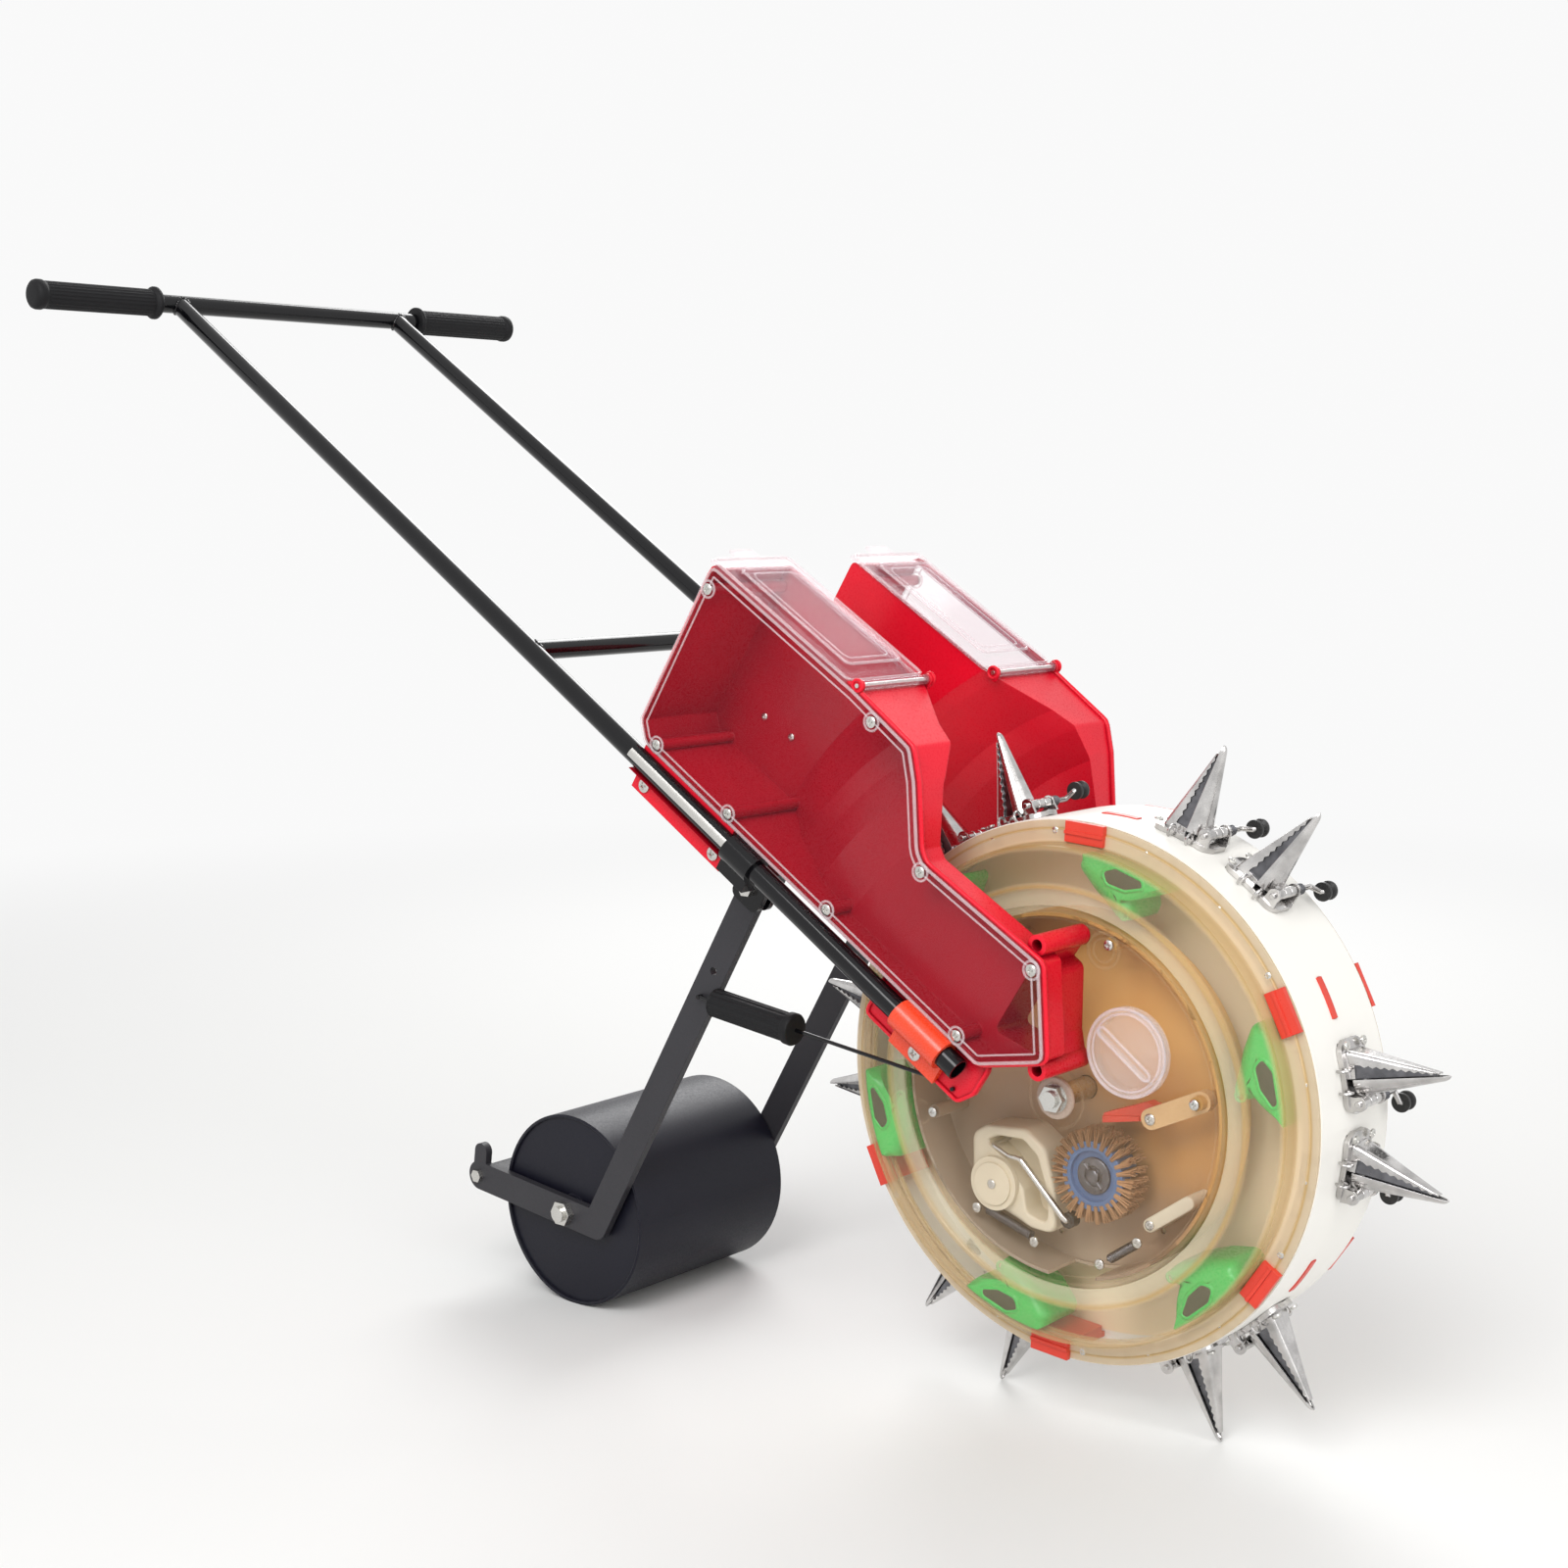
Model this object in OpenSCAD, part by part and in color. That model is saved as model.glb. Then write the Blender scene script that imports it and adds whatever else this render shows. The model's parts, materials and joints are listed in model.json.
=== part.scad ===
// Walk-behind seed planter: a spiked seed wheel between two tilted hoppers, two tubes and a press roller.
// Drawn with the wheel's axle at the origin, then moved so that the ground is z = 0.
// Forward is +X, up is +Z.

/* [Wheel] */
// outside radius of the ivory drum
drum_r = 236; // [200:1:280]
// half width of the drum
drum_half = 56; // [45:1:70]
// thickness of the drum's rim
drum_wall = 5; // [3:0.5:8]
// reach of the openers over the drum
opener_len = 85; // [70:1:100]
// half angle between the two openers of a pair
pair_half = 9; // [8:0.5:11]
// radius of the axle
axle_r = 7.5; // [6:0.5:10]
// width of the flange outside the clear pan
flange_w = 20; // [16:1:24]
// rise of the pan over the drum's flange
pan_rise = 19.5; // [15:0.5:25]
// width of the turning band round the still disc
band_w = 53; // [48:1:58]

/* [Opener] */
// radius of the opener's cone at its base
beak_r = 14; // [11:0.5:16]
// sheet thickness of an opener
sheet = 2; // [1.5:0.25:3]
// distance of the hinge ahead of the opener's middle
hinge_x = 20; // [18:0.5:22]
// height of the hinge over the drum
hinge_rise = 12; // [10:0.5:14]
// distance of the base plate's bolts behind the opener's middle
bolt_back = 26.6; // [26:0.1:27]

/* [Handle] */
// outside radius of the handle tubes
tube_r = 10; // [9:0.5:12.5]
// distance of a tube's middle from the wheel's middle plane
tube_y = 153.5; // [150:0.5:160]
// length from the axle to the handlebar along the tubes
tube_reach = 1344; // [1250:1:1450]
// tilt of the tubes
tube_angle = 33.4; // [30:0.1:38]
// half length of the handlebar with its grips
bar_half = 334; // [300:1:360]
// length of a grip
grip_len = 152; // [120:1:170]

/* [Hopper] */
// distance of the hopper's outer side from the middle plane
hopper_y = 149; // [145:1:150]
// distance of the hopper's inner side from the middle plane
hopper_in = 48; // [44:1:60]
// wall of the hopper
wall = 3; // [2.5:0.25:4]
// height of the hopper's rim over the tubes' middle
hopper_top = 201; // [180:1:220]

/* [Press roller] */
// radius of the roller
roller_r = 98; // [80:1:110]
// half length of the roller
roller_half = 105; // [95:1:110]
// distance of the roller's axle behind the wheel's axle
roller_x = 573.5; // [555:0.5:600]
// width of an arm's bar
arm_w = 30; // [24:1:36]
// thickness of an arm's bar
arm_t = 8; // [6:0.5:10]

/* [Fits] */
// running gap of a pin or shaft in its bore
run_fit = 0.06; // [0.02:0.01:0.1]
// gap of a seated piece
seat_fit = 0.02; // [0.01:0.01:0.05]
// gap between pieces that move past each other
pass_gap = 0.5; // [0.3:0.1:1.5]

/* [Hidden] */
$fn = 64;
tip_out = 4.2;
tip_in = 1.2;
tip_r = drum_r + opener_len;
hinge_r = drum_r + hinge_rise;
lip_r = drum_r - 17;
rim_r = drum_r - 10;
pan_r = drum_r - flange_w;
disc_r = pan_r - band_w;
// the still pieces are drawn for a disc of 163 and follow it
still = disc_r / 163;
wheel_phase = (atan(tip_out / tip_r) + atan(tip_in / tip_r)) / 2;
tip_lean = atan(tip_out / tip_r);
tip_far = norm([tip_r, tip_out]);
ground = tip_far * sin(60 + pair_half - wheel_phase + tip_lean);
front = tip_far * cos(pair_half + wheel_phase - tip_lean);
grip_r = 15;
flange_r = 18;
bar = [-tube_reach * cos(tube_angle), tube_reach * sin(tube_angle)];
back = bar[0] - flange_r;
origin_x = -(front + back) / 2;
roller_z = roller_r - ground;
flange_y = drum_half + 3;
face_y = flange_y + pan_rise;
disc_in = face_y - 3;
pan_back = 29;
pan_wall_r = disc_r - 5;
brush_r = 72 * still;
brush_a = -63.7;
brush = brush_r * [cos(brush_a), sin(brush_a)];
tooth_m = 4 * still;
hub_teeth = 24;
pinion_teeth = 12;
cap_c = still * [74, 50.5];
cap_r = 38 * still;
cap_hole = 32 * still;
arm_y = roller_half + 2;
pivot = [-345, -40];
bore_r = tube_r + seat_fit;
wire_r = 1.8;
// the brace's distance from the axle along the tubes
brace_x = 670;
brace_r = tube_r - 0.5;
tube_wall = 1.5;
// where the tubes end short of the axle
tube_stop = 57;
// rubber beyond the bar's own end
grip_end = 3;

// Plane outlines

function side_normal(a, b) = [b[1] - a[1], a[0] - b[0]] / norm(b - a);

// the outline moved inward by t at every side
function inset(p, t) = [
    for (i = [0:len(p) - 1])
        let (a = p[(i + len(p) - 1) % len(p)], c = p[(i + 1) % len(p)],
            n = side_normal(a, p[i]), m = side_normal(p[i], c))
        p[i] - t * (n + m) / (1 + n * m)
];

// the outline with every corner rounded by r in k steps
function rounded(p, r, k = 4) = [
    for (i = [0:len(p) - 1])
        let (a = p[(i + len(p) - 1) % len(p)], b = p[i], c = p[(i + 1) % len(p)],
            u = (a - b) / norm(a - b), v = (c - b) / norm(c - b),
            half = acos(max(-1, min(1, u * v))) / 2,
            t = min(r / tan(half), 0.45 * min(norm(a - b), norm(c - b))),
            rr = t * tan(half), m = b + (u + v) / norm(u + v) * rr / sin(half),
            s = b + u * t - m, e = b + v * t - m,
            a1 = atan2(s[1], s[0]), turn = (atan2(e[1], e[0]) - a1 + 540) % 360 - 180)
        for (j = [0:k]) m + rr * [cos(a1 + turn * j / k), sin(a1 + turn * j / k)]
];

// a spur gear's outline with straight stub teeth and some backlash
function gear_outline(n, m, phase) =
    let (r = n * m / 2, q = PI * m / 4 - 0.3, up = 0.75 * m, down = 0.95 * m)
    [
        for (i = [0:n - 1], c = [[-1, -down], [-1, up], [1, up], [1, -down]])
            let (w = (q - tan(20) * c[1]) / r * 180 / PI, a = phase + i * 360 / n + c[0] * w)
            (r + c[1]) * [cos(a), sin(a)]
    ];

function polar(r, a) = r * [cos(a), sin(a)];

// a point beside the side from a to b: at a share of its length and a distance outward
function beside(a, b, share, out) = a + share * (b - a) + out * side_normal(a, b);

// Placing

module in_frame() {
    translate([origin_x, 0, ground]) children();
}

// the tubes' own frame: x along the tubes toward the wheel, z off the tubes
module on_tubes() {
    rotate([0, tube_angle, 0]) children();
}

module both_sides() {
    children();
    mirror([0, 1, 0]) children();
}

// an outline in x and z, filled between two distances on the near side
module slab(p, y0, y1) {
    translate([0, -y0, 0]) rotate([90, 0, 0]) linear_extrude(y1 - y0) polygon(p);
}

// a round bar along y on the near side
module peg(c, r, y0, y1) {
    translate([c[0], -y0, c[1]]) rotate([90, 0, 0]) cylinder(r = r, h = y1 - y0);
}

module hex_peg(c, r, y0, y1) {
    translate([c[0], -y0, c[1]]) rotate([90, 0, 0]) cylinder(r = r, h = y1 - y0, $fn = 6);
}

// a profile of radius and distance, turned about the axle
module turned(p) {
    rotate([90, 0, 0]) rotate_extrude($fn = 128) polygon(p);
}

// one opener's own frame: z outward, x ahead in the rolling direction
module at_opener(i) {
    a = 60 * floor(i / 2) + (i % 2 == 0 ? pair_half : -pair_half) + wheel_phase;
    rotate([0, 90 - a, 0]) children();
}

module at_sixth(a) {
    for (k = [0:5]) rotate([0, -a - 60 * k - wheel_phase, 0]) children();
}

// Handle

module handlebar() {
    color("black") in_frame() difference() {
        translate([bar[0], bar_half - grip_end, bar[1]])
            rotate([90, 0, 0]) cylinder(r = tube_r, h = 2 * (bar_half - grip_end));
        translate([bar[0], bar_half, bar[1]])
            rotate([90, 0, 0]) cylinder(r = tube_r - tube_wall, h = 2 * bar_half);
    }
}

module side_tubes() {
    color("black") in_frame() on_tubes() both_sides() difference() {
        translate([-tube_reach, -tube_y, 0])
            rotate([0, 90, 0]) cylinder(r = tube_r, h = tube_reach - tube_stop);
        translate([-tube_reach - 1, -tube_y, 0])
            rotate([0, 90, 0]) cylinder(r = tube_r - tube_wall, h = tube_reach);
        translate([-tube_reach, -tube_y - 30, 0]) rotate([-90, 0, 0]) cylinder(r = tube_r, h = 60);
    }
}

module cross_brace() {
    color("black") in_frame() on_tubes() difference() {
        translate([-brace_x, tube_y, 0]) rotate([90, 0, 0]) cylinder(r = brace_r, h = 2 * tube_y);
        translate([-brace_x, tube_y + 1, 0])
            rotate([90, 0, 0]) cylinder(r = brace_r - tube_wall, h = 2 * tube_y + 2);
        both_sides() translate([-brace_x - 50, -tube_y, 0]) rotate([0, 90, 0]) cylinder(r = tube_r, h = 100);
    }
}

grip_ridges = 24;
grip_profile = [[0, bar_half], [grip_r - 4, bar_half], [grip_r, bar_half - 2.5], [grip_r + 1, bar_half - 5],
    [grip_r + 1, bar_half - 11], [grip_r - 0.6, bar_half - 13], [grip_r - 0.6, bar_half - grip_len + 9],
    [grip_r - 0.6, bar_half - grip_len + 7], [flange_r - 1, bar_half - grip_len + 6],
    [flange_r, bar_half - grip_len + 4.5], [flange_r, bar_half - grip_len + 1.5],
    [flange_r - 1.5, bar_half - grip_len], [bore_r, bar_half - grip_len], [bore_r, bar_half - grip_end],
    [0, bar_half - grip_end]];

module grip() {
    translate([bar[0], 0, bar[1]]) {
        rotate([90, 0, 0]) rotate_extrude() polygon(grip_profile);
        for (k = [0:grip_ridges - 1])
            peg(polar(grip_r - 1, k * 360 / grip_ridges), 1.2,
                bar_half - grip_len + 6.5, bar_half - 12, $fn = 16);
    }
}

module grips() {
    color("dimgray") in_frame() both_sides() grip();
}

// Hoppers, in the tubes' frame

floor_z = tube_r + 4.6;
// the bin stands behind the wheel's reach: its front edge, and the lid from front to back
bin_x = -tip_r;
bin_back = bin_x - 195;
lid_front = bin_x - 9;
lid_back = bin_back - 4;
hopper_line = [[bin_back, hopper_top], [bin_back, floor_z + 15.4], [bin_back + 16, floor_z],
    [-46 * still, floor_z], still * [4, 61], still * [-44, 127], [bin_x + 139, 122 * still],
    [bin_x + 129, 128 * still], [bin_x + 95, hopper_top - 26], [bin_x + 75, hopper_top - 5],
    [bin_x, hopper_top]];
hopper_outer = rounded(hopper_line, 6, 3);
hopper_inner = rounded(inset(hopper_line, wall), 4, 3);
outlet_line = still * [[-64, 30], [-16, 42], [-10, 62], [-42, 114], [-64, 114]];
screw_z = floor_z + 7.4;
screw_spots = [[bin_back + 8, hopper_top - 21], [bin_back + 30, screw_z], [bin_back + 135, screw_z],
    [bin_x + 78, screw_z], [-75 * still, screw_z], still * [-47, 118], [bin_x + 141, 114.5 * still],
    [bin_x + 30, hopper_top - 11]];
// the two lugs stand on the hopper's front edges
lug_r = 9;
lug_out = 7;
lug_spots = [beside(hopper_line[5], hopper_line[6], 0.1, lug_out),
    beside(hopper_line[3], hopper_line[4], 0.8, lug_out)];
lid_axis = [bin_x - 1, hopper_top + 4.5];
lid_r = norm(lid_axis);
// the plates under the hopper that the saddle and the clamp are bolted to, and where these start and end
plate_y = 136;
plate_t = 4;
grip_y = plate_y + plate_t;
plate_low = -34;
plate_high = floor_z + 2.4;
saddle_x = [-497, -366];
clamp_x = [-131, -75];
upper_plate = rounded([[saddle_x[0], plate_low], [saddle_x[1], plate_low], [saddle_x[1], plate_high],
    [saddle_x[0], plate_high]], 8, 3);
lower_plate = rounded([[-168, plate_low], [-48, plate_low], [-38, -16], [-38, plate_high],
    [-168, plate_high]], 8, 3);
bolt_r = 3;
plate_bolts = [[-483, -24], [-380, -24], [-103, -24]];
stay_hole = [-58, -26];

// what the hopper keeps clear for the turning wheel
function sweep(t) = [[0, 0], [lid_r + 6 + t, 0], [lid_r + 6 + t, hopper_in + t],
    [lid_r - 6 + t, hopper_in + 7 + t], [tip_r + 13 + t, 86 + t], [tip_r - 10 + t, 96 + t],
    [tip_r - 40 + t, 112 + t], [drum_r - 2 + t, 120 + t], [0, 120 + t]];

module hopper_shell() {
    difference() {
        on_tubes() slab(hopper_outer, hopper_in, hopper_y);
        difference() {
            on_tubes() slab(hopper_inner, hopper_in + wall, hopper_y + 1);
            turned(sweep(wall));
            on_tubes() for (c = screw_spots) peg(c, 5.5, hopper_in, hopper_y + 1);
        }
        turned(sweep(0));
        on_tubes() translate([bin_back + 9, -hopper_y + 6, hopper_top - 10])
            cube([bin_x - bin_back - 19, hopper_y - hopper_in - 12, 20]);
    }
}

module hopper() {
    difference() {
        union() {
            hopper_shell();
            on_tubes() {
                slab(rounded(outlet_line, 8, 3), face_y, 122);
                slab(upper_plate, plate_y, grip_y);
                slab(lower_plate, plate_y, grip_y);
                for (c = lug_spots) peg(c, lug_r, face_y, hopper_y - 6);
                for (y = [hopper_in, hopper_y - 5]) {
                    peg(lid_axis, 5, y, y + 5);
                    slab(upright([lid_axis[0] - 5, lid_axis[0] + 5], [hopper_top - 3, lid_axis[1]]),
                        y, y + 5);
                }
            }
        }
        on_tubes() {
            slab(rounded(inset(outlet_line, wall), 5, 3), face_y - 1, 126);
            for (c = plate_bolts) peg(c, bolt_r + seat_fit, plate_y - 6, grip_y + 2);
            for (c = screw_spots) peg(c, 2 + seat_fit, hopper_y - 12, hopper_y + 1);
            for (c = lug_spots) {
                peg(c, 2.5 + seat_fit, face_y - 1, hopper_y);
                peg(c, 5, face_y + 10, hopper_y);
            }
            peg(lid_axis, 2 + seat_fit, hopper_in - 1, hopper_y + 1);
            peg(stay_hole, wire_r + seat_fit, plate_y - 6, grip_y + 2);
        }
    }
}

module near_hopper() {
    color("crimson") in_frame() hopper();
}

module far_hopper() {
    color("crimson") in_frame() mirror([0, 1, 0]) hopper();
}

module cover() {
    on_tubes() difference() {
        slab(hopper_outer, hopper_y, hopper_y + 3);
        for (c = screw_spots) peg(c, 2 + seat_fit, hopper_y - 1, hopper_y + 4);
    }
}

module near_cover() {
    color("mistyrose") in_frame() cover();
}

module far_cover() {
    color("mistyrose") in_frame() mirror([0, 1, 0]) cover();
}

lid_z = hopper_top + 0.4;
lid_t = 3;
panel_in = 12;
lip_back = lid_back - 14;

module lid() {
    on_tubes() difference() {
        union() {
            slab(rounded(upright([lid_back, lid_front], [lid_z, lid_z + lid_t]), 1, 2),
                hopper_in - 2, hopper_y + 2);
            panel(lid_back + 20, lid_front - 16, lid_z + 2, lid_z + 7, panel_in);
            slab(upright([lip_back, lid_back + 2], [lid_z, lid_z + lid_t]), 84, 113);
            peg(lid_axis, 4.2, hopper_in + 5.5, hopper_y - 5.5);
            slab(upright([lid_front - 2, lid_axis[0]], [lid_z, lid_z + lid_t]),
                hopper_in + 5.5, hopper_y - 5.5);
        }
        panel(lid_back + 21, lid_front - 17, lid_z - 1, lid_z + 4.5, panel_in + 2.5);
        peg(lid_axis, 2 + run_fit, hopper_in, hopper_y);
        for (y = [hopper_in - 3, hopper_y - 5.5])
            slab(upright([lid_front - 3, lid_front + 20], [lid_z - 1, lid_z + 9]), y, y + 8.5);
    }
}

// a raised panel whose front and back slope in by 4
module panel(x0, x1, z0, z1, edge) {
    slab([[x0, z0], [x1, z0], [x1 - 4, z1], [x0 + 4, z1]], hopper_in + edge, hopper_y - edge);
}

module near_lid() {
    color("mistyrose") in_frame() lid();
}

module far_lid() {
    color("mistyrose") in_frame() mirror([0, 1, 0]) lid();
}

module lid_pins() {
    color("silver") in_frame() both_sides() on_tubes() peg(lid_axis, 2, hopper_in - 1, hopper_y + 1);
}

// a screw along y: round head outside, shank inward
module screw(c, r, y, len, head) {
    peg(c, r, y - len, y + 0.5);
    difference() {
        peg(c, head, y, y + head * 0.55);
        peg(c, r * 0.8, y + head * 0.3, y + head);
    }
}

module hopper_screws() {
    color("silver") in_frame() both_sides() on_tubes() {
        for (c = screw_spots) screw(c, 2, hopper_y + 3, 14, 5);
        for (c = plate_bolts) screw(c, bolt_r, grip_y + grip_t, 12, 6.5);
        for (c = lug_spots) screw(c, 2.5, face_y + 10, 15, 4.5);
    }
}

grip_out = tube_r + 4;
grip_t = 6;

// an upright rectangle in x and z
function upright(x, z) = [[x[0], z[0]], [x[1], z[0]], [x[1], z[1]], [x[0], z[1]]];

// a grip round the tube, its flange bolted to the hopper's plate
module tube_grip(x, bolts) {
    past = x + [-1, 1];
    difference() {
        union() {
            translate([x[0], -tube_y, 0]) rotate([0, 90, 0]) cylinder(r = grip_out, h = x[1] - x[0]);
            slab(upright(x, [-grip_out, grip_out]), grip_y, tube_y);
            slab(upright(x, [plate_low, 2 - grip_out]), grip_y, grip_y + grip_t);
        }
        translate([past[0], -tube_y, 0]) rotate([0, 90, 0]) cylinder(r = bore_r, h = past[1] - past[0]);
        slab(upright(past, [plate_low - 6, grip_out + 6]), plate_y - 6, grip_y);
        for (c = bolts) peg(c, bolt_r + seat_fit, grip_y - 1, grip_y + grip_t + 4);
    }
}

// the saddle holds its tube from the hopper's side and leaves the tube's outer half bare
module tube_saddles() {
    color("firebrick") in_frame() both_sides() on_tubes() difference() {
        tube_grip(saddle_x, [plate_bolts[0], plate_bolts[1]]);
        slab(upright(saddle_x + [-3, 6], [3 - grip_out, grip_out + 6]), tube_y - 1, tube_y + grip_out + 6);
    }
}

module tube_clamps() {
    color("orangered") in_frame() both_sides() on_tubes() tube_grip(clamp_x, [plate_bolts[2]]);
}

// Axle and the still parts inside the wheel

shoulder_r = 10;
bearing_r = 17.5;
bearing_y0 = 13;
bearing_y1 = 24;

module axle() {
    color("silver") in_frame() {
        peg([0, 0], axle_r, -face_y - 13, face_y + 13);
        both_sides() peg([0, 0], shoulder_r, bearing_y1, disc_in);
    }
}

module nut(c, r, bore, y0, y1) {
    difference() {
        hex_peg(c, r, y0, y1);
        peg(c, bore + seat_fit, y0 - 1, y1 + 1);
    }
}

// the pan that holds the seed, open toward the still disc
module still_pan() {
    difference() {
        union() {
            turned([[shoulder_r + pass_gap, pan_back], [pan_wall_r, pan_back], [pan_wall_r, disc_in],
                [pan_wall_r - wall, disc_in], [pan_wall_r - wall, pan_back + wall],
                [shoulder_r + pass_gap, pan_back + wall]]);
            for (c = pan_posts) peg(c, 6, pan_back + 1, disc_in);
        }
        rotate([0, 85, 0]) translate([pan_wall_r - 38, -disc_in - 1, -24])
            cube([60, disc_in - pan_back - 4, 48]);
        for (c = pan_posts) peg(c, 2 + seat_fit, disc_in - 14, disc_in + 1);
    }
}

pan_posts = still * [[52, 137], [-132, -34], [134, 15], [-60, 128]];

module still_disc() {
    difference() {
        peg([0, 0], disc_r, disc_in, face_y);
        peg([0, 0], axle_r + seat_fit, 0, 100);
        on_tubes() slab(rounded(inset(outlet_line, wall), 5, 3), disc_in - 1, face_y + 1);
        on_tubes() for (c = lug_spots) peg(c, 2.5 + seat_fit, disc_in - 1, face_y + 1);
        for (c = pan_posts) peg(c, 2 + seat_fit, disc_in - 1, face_y + 1);
    }
}

module near_disc() {
    color("bisque") in_frame() difference() {
        still_disc();
        peg(cap_c, cap_hole, disc_in - 1, face_y + 1);
    }
}

module seed_chamber() {
    color("peru") in_frame() difference() {
        still_pan();
        peg(brush, 6 + run_fit, 0, 60);
        for (c = spring_posts) peg(c, 2.5 + seat_fit, 0, 60);
    }
}

module far_disc() {
    color("bisque") in_frame() mirror([0, 1, 0]) still_disc();
}

module far_chamber() {
    color("peru") in_frame() mirror([0, 1, 0]) still_pan();
}

housing_line = still * [[-99, -50], [-84, -40], [-41, -37], [-20, -52], [-11, -87], [-10, -126], [-36, -125],
    [-86, -107], [-99, -95]];
housing_hollow = still * [[-84, -54], [-70, -48], [-44, -47], [-29, -60], [-19, -90], [-18, -118],
    [-40, -112], [-44, -92], [-62, -68]];
lever_pin = still * [-74, -55.5];
meter_c = still * [-72, -90];
meter_r = 24 * still;
spring_posts = still * [[-88, -114], [-27, -133], [40, -139], [77, -113]];

module meter_housing() {
    color("cornsilk") in_frame() {
        difference() {
            slab(rounded(housing_line, 9, 4), pan_back + wall, 66);
            slab(rounded(housing_hollow, 6, 4), 40, 67);
            peg(lever_pin, wire_r + run_fit, 33, 50);
            peg(meter_c, 2 + seat_fit, 50, 67);
        }
        link(still * [80, -101], still * [117, -75], 6 * still, pan_back + wall, 60);
    }
}

// a flat bar with round ends between two points
module link(p, q, r, y0, y1) {
    n = side_normal(p, q) * r;
    slab([p + n, q + n, q - n, p - n], y0, y1);
    peg(p, r, y0, y1);
    peg(q, r, y0, y1);
}

module meter_cap() {
    color("cornsilk") in_frame() difference() {
        union() {
            peg(meter_c, meter_r, 66, 71);
            peg(meter_c, meter_r - 5, 70, 73);
        }
        peg(meter_c, 2 + seat_fit, 60, 80);
    }
}

core_r = 30 * still;
bristle_r = 40 * still;
brush_y0 = 48;
brush_y1 = 72;

module brush_core() {
    color("steelblue") in_frame() {
        translate([brush[0], 0, brush[1]]) difference() {
            union() {
                peg([0, 0], core_r, brush_y0, brush_y1);
                peg([0, 0], 6, 5, brush_y1);
                slab(gear_outline(pinion_teeth, tooth_m, 180 + brush_a + 180 / pinion_teeth), 4.5, 14.5);
            }
            peg([0, 0], core_r - 8, brush_y1 - 4, brush_y1 + 1);
        }
    }
}

bristle_rows = 10;
bristle_round = 30;

// strands in rows on a thin sleeve that sits on the brush's core
module brush_bristles() {
    color("saddlebrown") in_frame() translate([brush[0], 0, brush[1]]) {
        difference() {
            peg([0, 0], core_r + 1.4, brush_y0 + 1, brush_y1 - 1, $fn = bristle_round);
            peg([0, 0], core_r + seat_fit, brush_y0, brush_y1, $fn = 60);
        }
        for (i = [0:bristle_rows - 1], k = [0:bristle_round - 1])
            translate([0, -brush_y0 - 2.2 - i * (brush_y1 - brush_y0 - 4.4) / (bristle_rows - 1), 0])
                rotate([0, 90 - (k + 0.5) * 360 / bristle_round, 0]) translate([0, 0, core_r + 0.7])
                    cylinder(r1 = 0.8, r2 = 0.6, h = bristle_r - core_r - 0.7, $fn = 3);
    }
}

wiper_pin = still * [86, -7];

module wiper() {
    color("red") in_frame() difference() {
        union() {
            slab(still * [[34, -20], [78, -12], [92, -12], [92, -1], [76, 4], [34, -12]], 46, 58);
            slab(still * [[34, -20], [70, -13], [70, -9], [34, -14]], 40, 60);
        }
        peg(wiper_pin, 2 + seat_fit, 30, 80);
    }
}

module wiper_arm() {
    color("cornsilk") in_frame() difference() {
        link(wiper_pin, pan_posts[2], 9 * still, 58, 68);
        peg(wiper_pin, 2 + seat_fit, 30, 80);
        peg(pan_posts[2], 6 + seat_fit, 30, 80);
    }
}

lever_path = [lever_pin, still * [-56, -63], still * [-44, -63.5], still * [3, -110]];
lever_y = 69;

module wire_lever() {
    color("silver") in_frame() {
        peg(lever_path[0], wire_r, 36, lever_y);
        for (i = [0:len(lever_path) - 1]) knuckle([lever_path[i][0], -lever_y, lever_path[i][1]], wire_r);
        for (i = [1:len(lever_path) - 1]) rod([lever_path[i - 1][0], -lever_y, lever_path[i - 1][1]],
            [lever_path[i][0], -lever_y, lever_path[i][1]], wire_r);
        peg(lever_path[3], wire_r, 60, lever_y);
    }
}

// a straight run of wire from one point to another
module rod(a, b, r) {
    d = b - a;
    translate(a) rotate([0, acos(d[2] / norm(d)), atan2(d[1], d[0])]) cylinder(r = r, h = norm(d), $fn = 24);
}

// the short barrel that a bent wire has at a corner, along y
module knuckle(p, r) {
    translate(p) rotate([90, 0, 0]) cylinder(r = r + 0.3, h = 2 * r + 1.2, center = true, $fn = 24);
}

module lever_knob() {
    color("black") in_frame() difference() {
        peg(lever_path[3], 7, 57, 66.5);
        peg(lever_path[3], wire_r + seat_fit, 56, 67);
    }
}

// a spring's middle line: turns about z, eight points a turn
function coil_line(turns, r, len) = [
    for (i = [0:8 * turns]) [r * cos(45 * i), r * sin(45 * i), len * i / (8 * turns)]
];

// the least gap between neighbouring turns of a spring
function coil_gap(line, wire) = min([for (i = [0:len(line) - 9]) norm(line[i + 8] - line[i]) - 2 * wire]);

// one unbroken six sided tube along a spring's middle line
module coil(turns, r, len, wire) {
    line = coil_line(turns, r, len);
    p = len / (turns * 2 * PI * r);
    n = len(line);
    points = [
        for (i = [0:n - 1], j = [0:5])
            line[i] + wire * cos(60 * j) * [cos(45 * i), sin(45 * i), 0]
                + wire * sin(60 * j) * [p * sin(45 * i), -p * cos(45 * i), 1] / sqrt(1 + p * p)
    ];
    sides = [
        for (i = [0:n - 2], j = [0:5])
            let (k = (j + 1) % 6)
            for (t = [[6 * i + j, 6 * i + k, 6 * i + 6 + k], [6 * i + j, 6 * i + 6 + k, 6 * i + 6 + j]]) t
    ];
    ends = [[5, 4, 3, 2, 1, 0], [for (j = [0:5]) 6 * n - 6 + j]];
    echo(least_gap_mm = coil_gap(line, wire));
    polyhedron(points, concat(sides, ends));
}

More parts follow.
